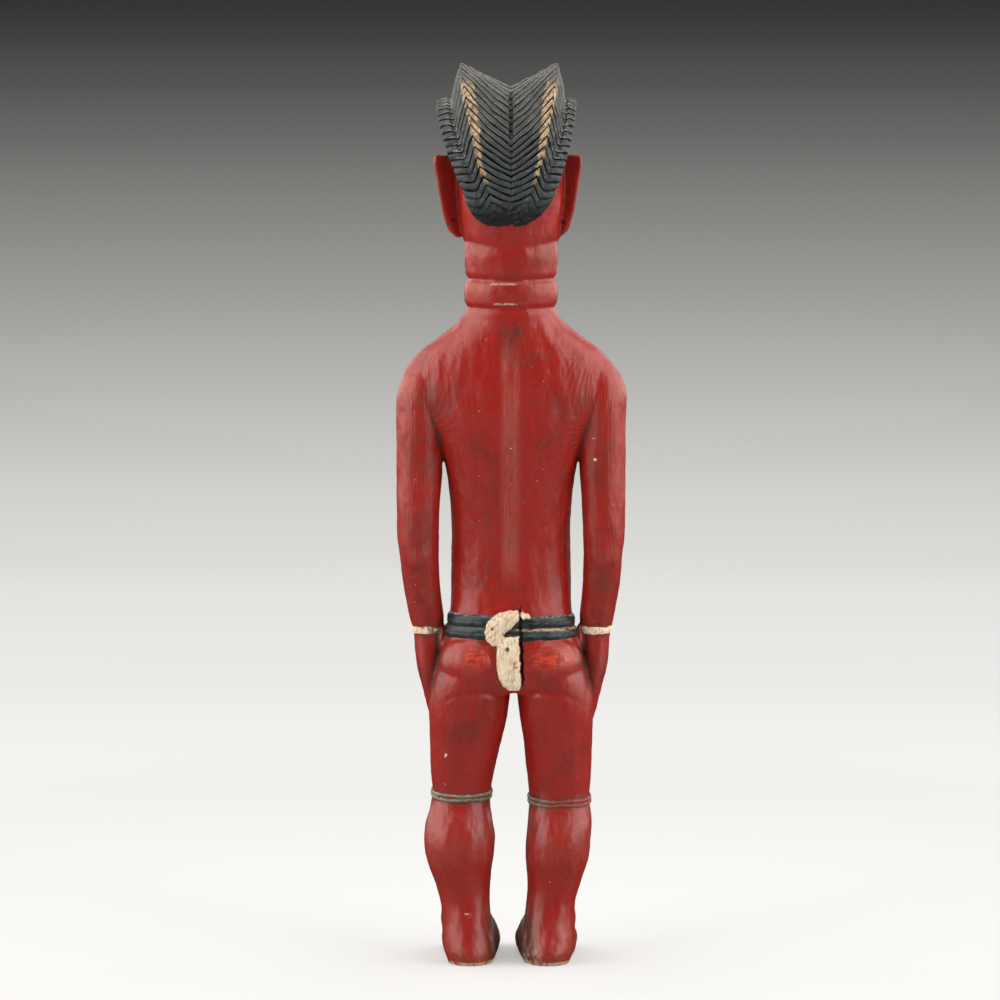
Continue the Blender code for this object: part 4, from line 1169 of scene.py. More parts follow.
def bracelet_path(side, points=220):
    """Give the path of the band round a wrist."""
    middle, half, y_middle, depth, squareness = read_rows(ARM, WRIST)
    x, y = oval(half, depth, squareness, points)
    x = side * (x + middle + arm_lean(side, WRIST))
    return even_path(np.column_stack((x, y + y_middle, np.full_like(x, WRIST))), points)


def cloth_relief(mesh):
    """Cut folds, pits and scrapes into the cloth."""
    points = spots_of(mesh)
    normals = facing_of(mesh)
    x, y, z = points.T
    behind = y > 0
    knot = behind & (z > 163.5) & (x + (z - 163.5) * 0.6 > -12)
    wrap = 0.22 * np.sin((x * 0.9 + (z - 172) * 1.0) * 1.9 + 0.6) * knot
    folds = 0.16 * np.sin(x * 2.1 + 0.08 * z + 0.8) * (behind & ~knot) * step(137, 141, z)
    front_folds = 0.42 * np.sin(x * 0.85 + 0.3 * np.sin(z * 0.12)) * ~behind * step(133, 140, z)
    hem = 0.35 * bump(z, 137.4, 0.9) * ~behind
    scrapes = 0.07 * unevenness(points, (1.1, 1.1, 5.0), 31, 40) + 0.05 * unevenness(points, 0.9, 32, 40)
    dents = 0.10 * unevenness(points, (4.0, 4.0, 6.0), 33, 24)
    out = wrap + folds + front_folds + hem + scrapes + dents - crack_depth(points) * 0.8
    for px, _, pz, radius, depth in CLOTH_PITS:
        out -= depth * bump(np.hypot(x - px, z - pz), 0.0, radius) * behind
    move_spots(mesh, points + normals * out[:, None])


def seam_spots():
    """Give points along each line where a carved form meets the skin."""
    lines = []
    half = (sizes().belt_cord / unit()) / 2
    for height, drop in ((BELT_HEIGHTS[0], half), (BELT_HEIGHTS[1], -half)):
        lines.append(belt_path(height, 300) + (0, 0, drop))
    for side, heights in ((1, LEFT_GARTER), (-1, RIGHT_GARTER)):
        lines += [garter_path(side, heights[0]) + (0, 0, 1.2), garter_path(side, heights[1]) - (0, 0, 1.2)]
        lines += [bracelet_path(side) + (0, 0, 2.9), bracelet_path(side) - (0, 0, 2.9)]
    for rows in (TAIL, FLAP):
        for z in levels_of(rows, 0.7):
            middle, wide, front, back, _ = read_rows(rows, z)
            depth = back - 5.0 if back > 0 else front + 3.0
            lines.append(np.array(((middle - wide, depth, z), (middle + wide, depth, z))))
    angles = np.linspace(HAIR[0][0], HAIR[-1][0], 240)
    edge = read_rows(HAIR, angles)[:, 9:11]
    rim = place_hair(angles, edge)
    lines += [rim, rim * (-1, 1, 1)]
    for place in (HAIR[0][0], HAIR[-1][0]):
        across = np.linspace(-1, 1, 60)[:, None]
        edge = read_rows(HAIR, np.array([place]))[:, 9:11]
        end = place_hair(np.full(1, place), edge)
        lines.append(end * np.hstack((across, np.ones_like(across), np.ones_like(across))))
    return np.vstack(lines)


def note_seams(mesh):
    """Keep how close each vertex lies to a carved form's edge."""
    seams = seam_spots()
    tree = KDTree(len(seams))
    for i, spot in enumerate(seams):
        tree.insert(spot, i)
    tree.balance()
    gaps = np.array([tree.find(spot)[2] for spot in spots_of(mesh)])
    note(mesh, "seam", np.exp(-((gaps / 1.5) ** 2)))


class PaintSettings(bpy.types.PropertyGroup):
    """Colours of the paints, the dirt and the painted shade."""

    red: bpy.props.FloatVectorProperty(
        name="Red paint",
        description="Glossy red of the body",
        subtype="COLOR",
        size=3,
        default=(0.365, 0.0085, 0.0035)
    )
    red_brown: bpy.props.FloatVectorProperty(
        name="Brown red",
        description="Duller red where the paint is thin",
        subtype="COLOR",
        size=3,
        default=(0.200, 0.015, 0.008)
    )
    black: bpy.props.FloatVectorProperty(
        name="Hair black",
        description="Blue black of the hair",
        subtype="COLOR",
        size=3,
        default=(0.016, 0.020, 0.024)
    )
    belt: bpy.props.FloatVectorProperty(
        name="Belt black",
        description="Blue black of the belt cords",
        subtype="COLOR",
        size=3,
        default=(0.014, 0.020, 0.024)
    )
    cream: bpy.props.FloatVectorProperty(
        name="Cream paint",
        description="Cream of cloth and bracelets",
        subtype="COLOR",
        size=3,
        default=(0.840, 0.680, 0.480)
    )
    garter: bpy.props.FloatVectorProperty(
        name="Garter brown",
        description="Grey brown of the garters",
        subtype="COLOR",
        size=3,
        default=(0.145, 0.115, 0.082)
    )
    # grey brown of the dirt, and of the painted shade in hollows and under the garters
    dirt_and_shade: bpy.props.FloatVectorProperty(
        name="Dirt",
        description="Grey brown dirt in the hollows",
        subtype="COLOR",
        size=3,
        default=(0.070, 0.050, 0.033)
    )


def paints():
    """Give the paint settings of the scene."""
    return bpy.context.scene.spouse_paint


def full(colour):
    """Give a colour with its fourth number."""
    return (*colour, 1.0)


class Board:
    """Adds nodes to one tree and links them as it goes."""

    def __init__(self, tree):
        self.tree = tree

    def add(self, kind, inputs=None, **settings):
        """Add a node with its settings, and feed its inputs."""
        node = self.tree.nodes.new(kind)
        node.location = (len(self.tree.nodes) % 12 * 190, -(len(self.tree.nodes) // 12) * 260)
        for key, value in settings.items():
            setattr(node, key, value)
        for key, value in (inputs or {}).items():
            self.feed(node.inputs[key], value)
        return node

    def feed(self, socket, value):
        """Link a socket, or set its value."""
        if isinstance(value, bpy.types.NodeSocket):
            self.tree.links.new(value, socket)
        else:
            socket.default_value = value

    def math(self, operation, first, second=0.0, third=0.0):
        """Add one step of arithmetic."""
        return self.add("ShaderNodeMath", {0: first, 1: second, 2: third}, operation=operation).outputs[0]

    def times(self, first, second):
        """Multiply two values."""
        return self.math("MULTIPLY", first, second)

    def plus(self, first, second):
        """Add two values."""
        return self.math("ADD", first, second)

    def less(self, first, second):
        """Take the second value from the first."""
        return self.math("SUBTRACT", first, second)

    def most(self, first, second):
        """Give the larger of two values."""
        return self.math("MAXIMUM", first, second)

    def ramp(self, value, low, high, start=0.0, end=1.0):
        """Rise smoothly between two values."""
        inputs = {"Value": value, "From Min": low, "From Max": high, "To Min": start, "To Max": end}
        return self.add("ShaderNodeMapRange", inputs, interpolation_type="SMOOTHSTEP").outputs["Result"]

    def mix(self, share, first, second, way="MIX"):
        """Mix two colours."""
        inputs = {0: share, 6: first, 7: second}
        return self.add("ShaderNodeMix", inputs, data_type="RGBA", blend_type=way).outputs[2]

    def noise(self, place, scale, detail=3.0, rough=0.5):
        """Add a soft noise."""
        inputs = {"Vector": place, "Scale": scale, "Detail": detail, "Roughness": rough}
        return self.add("ShaderNodeTexNoise", inputs).outputs[0]

    def stretch(self, place, scale):
        """Scale a place by a factor on each axis."""
        return self.add("ShaderNodeVectorMath", {0: place, 1: scale}, operation="MULTIPLY").outputs[0]

    def millimetres(self):
        """Give the place on the object, in millimetres."""
        place = self.add("ShaderNodeTexCoord").outputs["Object"]
        return self.stretch(place, (MILLIMETRES, MILLIMETRES, MILLIMETRES))

    def kept(self, name):
        """Read a number that the carving kept for each vertex."""
        return self.add("ShaderNodeAttribute", attribute_type="GEOMETRY", attribute_name=name).outputs["Fac"]

    def group(self, name, inputs):
        """Place a shared effect."""
        if name not in bpy.data.node_groups:
            EFFECTS[name]()
        node = self.add("ShaderNodeGroup", node_tree=bpy.data.node_groups[name])
        for key, value in inputs.items():
            self.feed(node.inputs[key], value)
        return node.outputs


def new_group(name, inputs, outputs):
    """Make a node group with named sockets, and give its board and its two ends."""
    tree = bpy.data.node_groups.new(name, "ShaderNodeTree")
    kinds = {float: "NodeSocketFloat", tuple: "NodeSocketVector", list: "NodeSocketColor"}
    for label, value in inputs.items():
        socket = tree.interface.new_socket(name=label, in_out="INPUT", socket_type=kinds[type(value)])
        socket.default_value = value
    for label, kind in outputs.items():
        tree.interface.new_socket(name=label, in_out="OUTPUT", socket_type=kinds[kind])
    board = Board(tree)
    return board, board.add("NodeGroupInput").outputs, board.add("NodeGroupOutput")


def make_dirt_and_shade_group():
    """Dirt and painted shade that settle in hollows and along carved edges, broken up by noise."""
    inputs = {"Place": (0.0, 0.0, 0.0), "Hollow": 0.0, "Seam": 0.0, "Amount": 0.5}
    board, given, made = new_group("Settled Dirt and Shade", inputs, {"Mask": float})
    patches = board.noise(given["Place"], 0.16, 5.0, 0.6)
    grain = board.noise(given["Place"], 1.3, 4.0, 0.65)
    deep = board.ramp(given["Hollow"], -0.40, -1.0)
    near = board.most(board.times(deep, 0.95), board.times(given["Seam"], 0.62))
    wild = board.plus(board.times(patches, 0.9), board.times(grain, 0.7))
    total = board.times(near, board.plus(wild, -0.05))
    total = board.times(total, board.times(given["Amount"], 2.0))
    board.feed(made.inputs["Mask"], board.ramp(total, 0.14, 0.80))


def make_wear_group():
    """Paint rubbed off raised places, with a ragged edge."""
    inputs = {"Place": (0.0, 0.0, 0.0), "Raised": 0.0, "Amount": 0.5, "Grain": 1.0}
    board, given, made = new_group("Rubbed Edges", inputs, {"Mask": float})
    grain = board.noise(
        board.add(
            "ShaderNodeVectorMath", {0: given["Place"], 3: given["Grain"]}, operation="SCALE"
        ).outputs[0],
        0.9,
        5.0,
        0.7,
    )
    total = board.plus(board.times(given["Raised"], given["Amount"]), board.times(grain, 0.5))
    board.feed(made.inputs["Mask"], board.ramp(total, 0.60, 0.70))


def make_chip_group():
    """Small chips, sparse and of uneven size."""
    inputs = {"Place": (0.0, 0.0, 0.0), "Gap": 7.0, "Share": 0.3, "Size": 0.09}
    board, given, made = new_group("Small Chips", inputs, {"Mask": float})
    wavy = board.add(
        "ShaderNodeTexNoise", {"Vector": given["Place"], "Scale": 1.6, "Detail": 2.0}
    ).outputs["Color"]
    shaken = board.add(
        "ShaderNodeVectorMath", {0: wavy, 1: (0.9, 0.9, 0.9), 2: given["Place"]}, operation="MULTIPLY_ADD"
    ).outputs[0]
    cells = board.add(
        "ShaderNodeTexVoronoi", {"Vector": shaken, "Scale": board.math("DIVIDE", 1.0, given["Gap"])}
    )
    dice = board.add("ShaderNodeSeparateColor", {0: cells.outputs["Color"]})
    chosen = board.math("LESS_THAN", dice.outputs[0], given["Share"])
    radius = board.times(board.plus(dice.outputs[1], 0.35), given["Size"])
    inside = board.ramp(board.less(radius, cells.outputs["Distance"]), 0.0, 0.02)
    board.feed(made.inputs["Mask"], board.times(inside, chosen))


def make_streak_group():
    """Fine upright streaks of brush and grain."""
    inputs = {"Place": (0.0, 0.0, 0.0), "Fineness": 1.0}
    board, given, made = new_group("Upright Streaks", inputs, {"Value": float})
    place = board.add(
        "ShaderNodeVectorMath", {0: given["Place"], 3: given["Fineness"]}, operation="SCALE"
    ).outputs[0]
    fine = board.noise(board.stretch(place, (1.0, 1.0, 0.045)), 1.1, 4.0, 0.6)
    broad = board.noise(board.stretch(place, (1.0, 1.0, 0.10)), 0.22, 3.0, 0.5)
    board.feed(made.inputs["Value"], board.plus(board.times(fine, 0.6), board.times(broad, 0.4)))


def make_ring_group():
    """Growth rings of the wood, upright cylinders that the surface cuts through."""
    inputs = {"Place": (0.0, 0.0, 0.0), "Pitch": 1.0}
    board, given, made = new_group("Growth Rings", inputs, {"Height": float})
    drift = board.noise(board.stretch(given["Place"], (1.0, 1.0, 0.35)), 0.045, 2.0, 0.5)
    parts = board.add("ShaderNodeSeparateXYZ", {0: given["Place"]})
    back = board.plus(parts.outputs["Y"], RING_AXIS - MIDDLE[1])
    across = board.times(parts.outputs["X"], parts.outputs["X"])
    reach = board.math("SQRT", board.plus(across, board.times(back, back)))
    reach = board.plus(reach, board.times(drift, 3.0))
    wave = board.math("SINE", board.math("DIVIDE", board.times(reach, 2 * math.pi), given["Pitch"]))
    outer = board.ramp(board.math("ABSOLUTE", parts.outputs["X"]), 18.0, 32.0)
    patches = board.times(outer, board.ramp(board.noise(given["Place"], 0.055, 3.0, 0.5), 0.30, 0.60))
    patches = board.times(patches, board.ramp(parts.outputs["Z"], 194.0, 216.0))
    board.feed(made.inputs["Height"], board.times(wave, patches))


def make_spot_group():
    """One round spot at a chosen place, with a ragged edge, tolerant in depth."""
    inputs = {"Place": (0.0, 0.0, 0.0), "Centre": (0.0, 0.0, 0.0), "Radius": 1.0}
    board, given, made = new_group("Chosen Spot", inputs, {"Mask": float})
    flat = (1.0, 0.25, 1.0)
    ends = {0: board.stretch(given["Place"], flat), 1: board.stretch(given["Centre"], flat)}
    gap = board.add("ShaderNodeVectorMath", ends, operation="DISTANCE").outputs["Value"]
    edge = board.times(board.less(board.noise(given["Place"], 2.0, 3.0), 0.5), 1.3)
    board.feed(made.inputs["Mask"], board.ramp(board.less(given["Radius"], board.plus(gap, edge)), 0.0, 0.25))


def make_crack_group():
    """The dark line of the drying crack behind."""
    inputs = {"Place": (0.0, 0.0, 0.0), "Half Width": 0.4}
    board, given, made = new_group("Drying Crack", inputs, {"Mask": float})
    parts = board.add("ShaderNodeSeparateXYZ", {0: given["Place"]})
    z = parts.outputs["Z"]
    line = board.math("MULTIPLY_ADD", z, -CRACK_SLANT, CRACK_TOP[0] + MIDDLE[0] + CRACK_TOP[1] * CRACK_SLANT)
    line = board.plus(line, board.times(board.math("SINE", board.times(z, 0.9)), 0.25))
    gap = board.math("ABSOLUTE", board.less(parts.outputs["X"], line))
    wild = board.times(board.noise(given["Place"], 0.8, 3.0), given["Half Width"])
    inside = board.ramp(board.less(board.plus(given["Half Width"], wild), gap), 0.18, 0.42)
    high = board.times(
        board.ramp(z, CRACK_TOP[1] + 1.5, CRACK_TOP[1] - 3.0), board.ramp(z, CRACK_FOOT, CRACK_FOOT + 8.0)
    )
    behind = board.ramp(parts.outputs["Y"], 14.0, 18.0)
    board.feed(made.inputs["Mask"], board.times(inside, board.times(high, behind)))


EFFECTS = {
    "Settled Dirt and Shade": make_dirt_and_shade_group,
    "Rubbed Edges": make_wear_group,
    "Small Chips": make_chip_group,
    "Upright Streaks": make_streak_group,
    "Growth Rings": make_ring_group,
    "Chosen Spot": make_spot_group,
    "Drying Crack": make_crack_group,
}


def new_paint(name):
    """Make a material, and give it with its board and its shader."""
    material = bpy.data.materials.new(name)
    material.use_nodes = True
    shader = material.node_tree.nodes["Principled BSDF"]
    return material, Board(material.node_tree), shader


def lay_bump(board, shader, height, depth):
    """Feed a height in millimetres to the shader's normal."""
    inputs = {"Strength": 1.0, "Distance": depth * MILLIMETRE, "Height": height}
    board.feed(shader.inputs["Normal"], board.add("ShaderNodeBump", inputs).outputs[0])


def inside_span(board, value, low, high, soft):
    """Give 1 between two values, with soft ends."""
    return board.times(board.ramp(value, low - soft, low + soft), board.ramp(value, high + soft, high - soft))


def add_spots(board, place, spots, colour, tone, share=1.0):
    """Paint a row of chosen spots over a colour."""
    for px, py, pz, radius in spots:
        centre = (px + MIDDLE[0], py + MIDDLE[1], pz)
        spot = board.group("Chosen Spot", {"Place": place, "Centre": centre, "Radius": radius})["Mask"]
        colour = board.mix(board.times(spot, share), colour, tone)
    return colour


def make_red_paint():
    """Glossy old red on the body: dusty and with a painted sheen down the back, rubbed at the edges, dirty in
    the hollows, with painted shade in the hollows, between hands and hips and towards the feet, and painted
    highlights on the seat.
    """
    colours = paints()
    material, board, shader = new_paint("Old Red Paint")
    place = board.millimetres()
    parts = board.add("ShaderNodeSeparateXYZ", {0: place})
    x, y, z = parts.outputs["X"], parts.outputs["Y"], parts.outputs["Z"]
    behind = board.ramp(y, 8.0, 14.0)
    streaks = board.group("Upright Streaks", {"Place": place, "Fineness": 1.0})["Value"]
    clouds = board.noise(place, 0.06, 5.0, 0.6)
    mottle = board.noise(place, 0.45, 5.0, 0.65)
    colour = board.mix(board.ramp(clouds, 0.46, 0.74, 0.0, 0.75), full(colours.red), full(colours.red_brown))
    colour = board.mix(board.ramp(mottle, 0.48, 0.66, 0.0, 0.50), colour, full(colours.red_brown))
    pepper = board.noise(place, 1.1, 5.0, 0.7)
    colour = board.mix(board.ramp(pepper, 0.54, 0.66, 0.0, 0.45), colour, (0.110, 0.016, 0.010, 1.0))
    # painted shade: the red darkens a little from the waist down and more from the knees down
    colour = board.mix(board.ramp(z, 190.0, 130.0, 0.0, 0.10), colour, (0.200, 0.012, 0.008, 1.0))
    colour = board.mix(board.ramp(z, 105.0, 40.0, 0.0, 0.16), colour, (0.200, 0.012, 0.008, 1.0))
    fore = board.times(
        board.ramp(board.math("ABSOLUTE", x), 35.0, 40.0), inside_span(board, z, 165.0, 212.0, 14.0)
    )
    fore = board.times(fore, board.ramp(board.noise(place, 0.45, 5.0, 0.7), 0.30, 0.75))
    colour = board.mix(board.times(fore, 0.60), colour, (0.110, 0.022, 0.012, 1.0))
    bright = board.ramp(board.noise(place, 0.11, 4.0, 0.6), 0.56, 0.72)
    colour = board.mix(board.times(bright, 0.40), colour, (0.46, 0.014, 0.006, 1.0))
    # worn paint and a painted highlight on the top of each buttock
    for left, right, low, high in SEAT_WEAR_AND_HIGHLIGHT:
        patch = board.times(inside_span(board, x, left, right, 4.0), inside_span(board, z, low, high, 3.5))
        blotch = board.noise(board.stretch(place, (0.45, 1.0, 1.3)), 0.5, 4.0, 0.6)
        patch = board.times(board.times(patch, behind), board.ramp(blotch, 0.44, 0.54))
        colour = board.mix(board.times(patch, 0.7), colour, (0.72, 0.070, 0.025, 1.0))
    dusty = board.times(board.ramp(streaks, 0.47, 0.66), board.ramp(mottle, 0.36, 0.62))
    colour = board.mix(board.times(dusty, 0.16), colour, (0.40, 0.090, 0.065, 1.0))
    # dust and a painted sheen down the furrow of the spine
    spine = board.times(inside_span(board, x, -3.4, 4.2, 2.6), inside_span(board, z, 196.0, 312.0, 9.0))
    spine = board.times(board.times(spine, behind), board.ramp(streaks, 0.36, 0.62, 0.25, 1.0))
    colour = board.mix(board.times(spine, 0.50), colour, (0.42, 0.120, 0.090, 1.0))
    rings = board.group("Growth Rings", {"Place": place, "Pitch": RING_PITCH})["Height"]
    colour = board.mix(board.ramp(rings, 0.2, 1.0, 0.0, 0.10), colour, (0.50, 0.16, 0.12, 1.0))
    colour = board.mix(board.ramp(rings, -0.2, -1.0, 0.0, 0.12), colour, full(colours.red_brown))
    nape = board.times(inside_span(board, x, -6.0, 4.0, 3.5), inside_span(board, z, 311.0, 322.0, 4.0))
    nape = board.times(board.times(nape, behind), board.ramp(mottle, 0.38, 0.60))
    colour = board.mix(board.times(nape, 0.7), colour, (0.085, 0.035, 0.024, 1.0))
    wide = board.math("ABSOLUTE", x)
    open_back = board.most(board.ramp(wide, 6.0, 11.0), board.ramp(z, 186.0, 176.0))
    amount = board.times(board.ramp(z, 232.0, 200.0, 0.36, 0.62), board.ramp(z, 352.0, 345.0, 0.62, 1.0))
    fork = board.times(inside_span(board, z, 128.0, 140.0, 4.0), board.ramp(wide, 18.0, 13.0))
    amount = board.times(amount, board.times(open_back, board.less(1.0, fork)))
    marks = {"Place": place, "Hollow": board.kept("hollow"), "Seam": board.kept("seam"), "Amount": amount}
    # dirt and painted shade in the hollows and along carved edges
    grime_and_shade = board.group("Settled Dirt and Shade", marks)["Mask"]
    soil_and_shade = board.mix(mottle, full(colours.dirt_and_shade), (0.030, 0.016, 0.010, 1.0))
    colour = board.mix(board.times(grime_and_shade, 0.92), colour, soil_and_shade)
    # dirt and painted shade, dark brown in the recess between each hand and the hip
    hand = board.times(inside_span(board, wide, 33.0, 38.0, 2.5), inside_span(board, z, 144.0, 171.0, 6.0))
    hand = board.times(hand, board.ramp(board.noise(place, 0.30, 5.0, 0.65), 0.40, 0.56))
    colour = board.mix(board.times(hand, 0.7), colour, (0.050, 0.034, 0.022, 1.0))
    film = board.ramp(board.noise(place, 0.35, 5.0, 0.7), 0.56, 0.72)
    colour = board.mix(board.times(film, 0.34), colour, (0.095, 0.026, 0.017, 1.0))
    rubbed = board.group(
        "Rubbed Edges", {"Place": place, "Raised": board.kept("hollow"), "Amount": 0.42, "Grain": 1.0}
    )["Mask"]
    colour = board.mix(board.times(rubbed, 0.14), colour, (0.42, 0.14, 0.09, 1.0))
    # dirt low on the feet, and dirt with painted shade on their facing inner sides
    feet = board.times(board.ramp(z, 12.0, 3.0), board.ramp(board.noise(place, 0.30, 5.0, 0.65), 0.50, 0.66))
    inner = board.times(board.ramp(wide, 15.0, 8.5), board.ramp(z, 34.0, 18.0))
    inner = board.times(inner, board.ramp(board.noise(place, 0.22, 5.0, 0.65), 0.26, 0.48))
    colour = board.mix(board.times(board.most(feet, inner), 0.80), colour, (0.055, 0.040, 0.026, 1.0))
    scrape = board.times(inside_span(board, x, -14.5, -6.0, 2.5), board.ramp(z, 12.0, 5.0))
    scrape = board.times(scrape, board.ramp(mottle, 0.44, 0.56))
    colour = board.mix(
        board.times(scrape, board.ramp(y, -6.0, 4.0, 0.0, 0.8)), colour, (0.30, 0.20, 0.14, 1.0)
    )
    heel = board.times(board.ramp(z, 2.0, 1.0), board.ramp(board.noise(place, 0.16, 4.0, 0.6), 0.42, 0.54))
    heel = board.times(heel, board.ramp(y, -10.0, 12.0))
    colour = board.mix(heel, colour, (0.50, 0.36, 0.22, 1.0))
    big = board.group("Small Chips", {"Place": place, "Gap": 15.0, "Share": 0.16, "Size": 0.040})["Mask"]
    small = board.group("Small Chips", {"Place": place, "Gap": 3.2, "Share": 0.24, "Size": 0.085})["Mask"]
    colour = board.mix(board.times(small, 0.8), colour, (0.62, 0.32, 0.21, 1.0))
    for low, high, left, right in NECK_SCRAPES:
        band = board.times(inside_span(board, z, low, high, 0.35), inside_span(board, x, left, right, 1.4))
        broken = board.ramp(board.noise(place, 0.8, 4.0, 0.7), 0.40, 0.56)
        band = board.times(board.times(band, broken), behind)
        big = board.most(big, board.times(band, 0.75))
    colour = board.mix(big, colour, (0.70, 0.52, 0.40, 1.0))
    colour = add_spots(board, place, PALE_CHIPS, colour, (0.80, 0.68, 0.52, 1.0))
    specks = board.group("Small Chips", {"Place": place, "Gap": 3.0, "Share": 0.24, "Size": 0.10})["Mask"]
    colour = board.mix(board.times(specks, 0.5), colour, (0.06, 0.018, 0.012, 1.0))
    colour = add_spots(board, place, DARK_HOLES, colour, (0.012, 0.008, 0.007, 1.0), 0.9)
    crack = board.group("Drying Crack", {"Place": place, "Half Width": 0.6})["Mask"]
    colour = board.mix(crack, colour, (0.006, 0.004, 0.004, 1.0))
    board.feed(shader.inputs["Base Color"], colour)
    dull = board.ramp(board.noise(place, 0.12, 4.0, 0.6), 0.35, 0.70, 0.31, 0.42)
    rough = board.plus(dull, board.times(board.most(grime_and_shade, film), 0.25))
    rough = board.plus(rough, board.times(big, 0.25))
    board.feed(shader.inputs["Roughness"], rough)
    fine = board.noise(place, 1.5, 4.0, 0.65)
    height = board.plus(board.times(streaks, 0.60), board.times(fine, 0.30))
    height = board.plus(height, board.times(rings, 0.14))
    height = board.plus(height, board.times(mottle, 0.35))
    height = board.less(height, board.times(board.most(big, small), 0.5))
    lay_bump(board, shader, height, 0.20)
    shader.inputs["Specular IOR Level"].default_value = 0.55
    shader.inputs["Coat Weight"].default_value = 0.22
    shader.inputs["Coat Roughness"].default_value = 0.32
    return material


def make_hair_paint():
    """Blue black on the hair, rubbed to bare wood along the crests, with painted highlights on the locks and
    painted shade in the cuts between them.
    """
    colours = paints()
    material, board, shader = new_paint("Black Hair Paint")
    place = board.millimetres()
    parts = board.add("ShaderNodeSeparateXYZ", {0: place})
    y, z = parts.outputs["Y"], parts.outputs["Z"]
    top, ridge, edge, side = (board.kept(name) for name in ("lock_top", "ridge", "lock_edge", "side_crest"))
    clouds = board.noise(place, 0.16, 4.0, 0.6)
    grain = board.noise(place, 0.85, 5.0, 0.68)
    fine = board.noise(place, 1.7, 4.0, 0.7)
    colour = board.mix(board.ramp(clouds, 0.35, 0.70), full(colours.black), (0.030, 0.036, 0.041, 1.0))
    # painted highlight on the top of each lock
    lift = board.times(board.ramp(top, 0.45, 1.0), board.ramp(grain, 0.34, 0.62, 0.25, 0.85))
    colour = board.mix(lift, colour, (0.078, 0.089, 0.096, 1.0))
    # painted shade: near black in the cuts between the locks
    colour = board.mix(board.ramp(top, 0.45, 0.05, 0.0, 0.9), colour, (0.006, 0.006, 0.007, 1.0))
    brown = board.ramp(board.noise(place, 0.3, 4.0, 0.65), 0.55, 0.70)
    colour = board.mix(board.times(brown, 0.45), colour, (0.060, 0.045, 0.032, 1.0))
    wide = board.ramp(z, 388.0, 436.0, 1.8, 6.6)
    ragged = board.times(board.less(board.noise(place, 0.42, 5.0, 0.65), 0.5), 7.0)
    inner = board.ramp(board.plus(board.plus(ridge, wide), ragged), 0.0, 0.8)
    past = board.ramp(z, 418.0, 438.0, 0.6, 3.4)
    outer = board.ramp(board.less(board.plus(ridge, board.times(ragged, 0.4)), past), 0.6, 0.0)
    worn = board.times(inner, outer)
    worn = board.times(worn, board.ramp(board.plus(top, board.times(grain, 0.9)), 0.74, 1.12))
    worn = board.times(worn, board.ramp(board.noise(place, 0.30, 3.0, 0.6), 0.33, 0.45))
    worn = board.times(worn, board.times(inside_span(board, z, 393.0, 441.0, 5.0), board.ramp(y, 2.0, 20.0)))
    tan = board.mix(
        board.ramp(board.noise(place, 0.55, 5.0, 0.65), 0.36, 0.64),
        (0.66, 0.49, 0.30, 1.0),
        (0.28, 0.16, 0.08, 1.0),
    )
    colour = board.mix(worn, colour, tan)
    # painted highlight: pale broken lines along the raised edge of each lock
    broken = board.ramp(board.plus(fine, board.ramp(z, 396.0, 434.0, -0.20, 0.22)), 0.44, 0.56)
    patchy = board.plus(board.noise(place, 0.22, 3.0), board.ramp(z, 404.0, 436.0, 0.0, 0.22))
    lines = board.times(board.times(edge, broken), board.ramp(patchy, 0.40, 0.56))
    lines = board.times(lines, board.ramp(ridge, 0.0, 1.0, 1.0, 0.30))
    colour = board.mix(board.times(lines, 0.52), colour, (0.46, 0.42, 0.34, 1.0))
    rim = board.times(side, board.ramp(board.plus(board.times(edge, 0.35), fine), 0.66, 0.78))
    rim = board.times(rim, board.ramp(z, 396.0, 406.0))
    colour = board.mix(board.times(rim, 0.85), colour, (0.60, 0.56, 0.48, 1.0))
    chips = board.group("Small Chips", {"Place": place, "Gap": 6.0, "Share": 0.16, "Size": 0.06})["Mask"]
    colour = board.mix(chips, colour, (0.45, 0.34, 0.21, 1.0))
    colour = add_spots(board, place, HAIR_CHIPS, colour, (0.66, 0.60, 0.50, 1.0))
    colour = add_spots(board, place, HAIR_SMEARS, colour, (0.40, 0.25, 0.12, 1.0), 0.9)
    nape = board.times(board.ramp(z, 385.0, 375.0), board.ramp(clouds, 0.34, 0.50, 0.35, 0.85))
    colour = board.mix(nape, colour, (0.011, 0.012, 0.014, 1.0))
    split = board.ramp(board.kept("crack"), 1.0, 2.0)
    colour = board.mix(split, colour, (0.010, 0.006, 0.004, 1.0))
    board.feed(shader.inputs["Base Color"], colour)
    rough = board.ramp(clouds, 0.35, 0.70, 0.32, 0.48)
    board.feed(shader.inputs["Roughness"], board.plus(rough, board.times(worn, 0.25)))
    lay_bump(board, shader, board.plus(grain, board.times(fine, 0.6)), 0.16)
    shader.inputs["Coat Weight"].default_value = 0.10
    shader.inputs["Coat Roughness"].default_value = 0.3
    return material


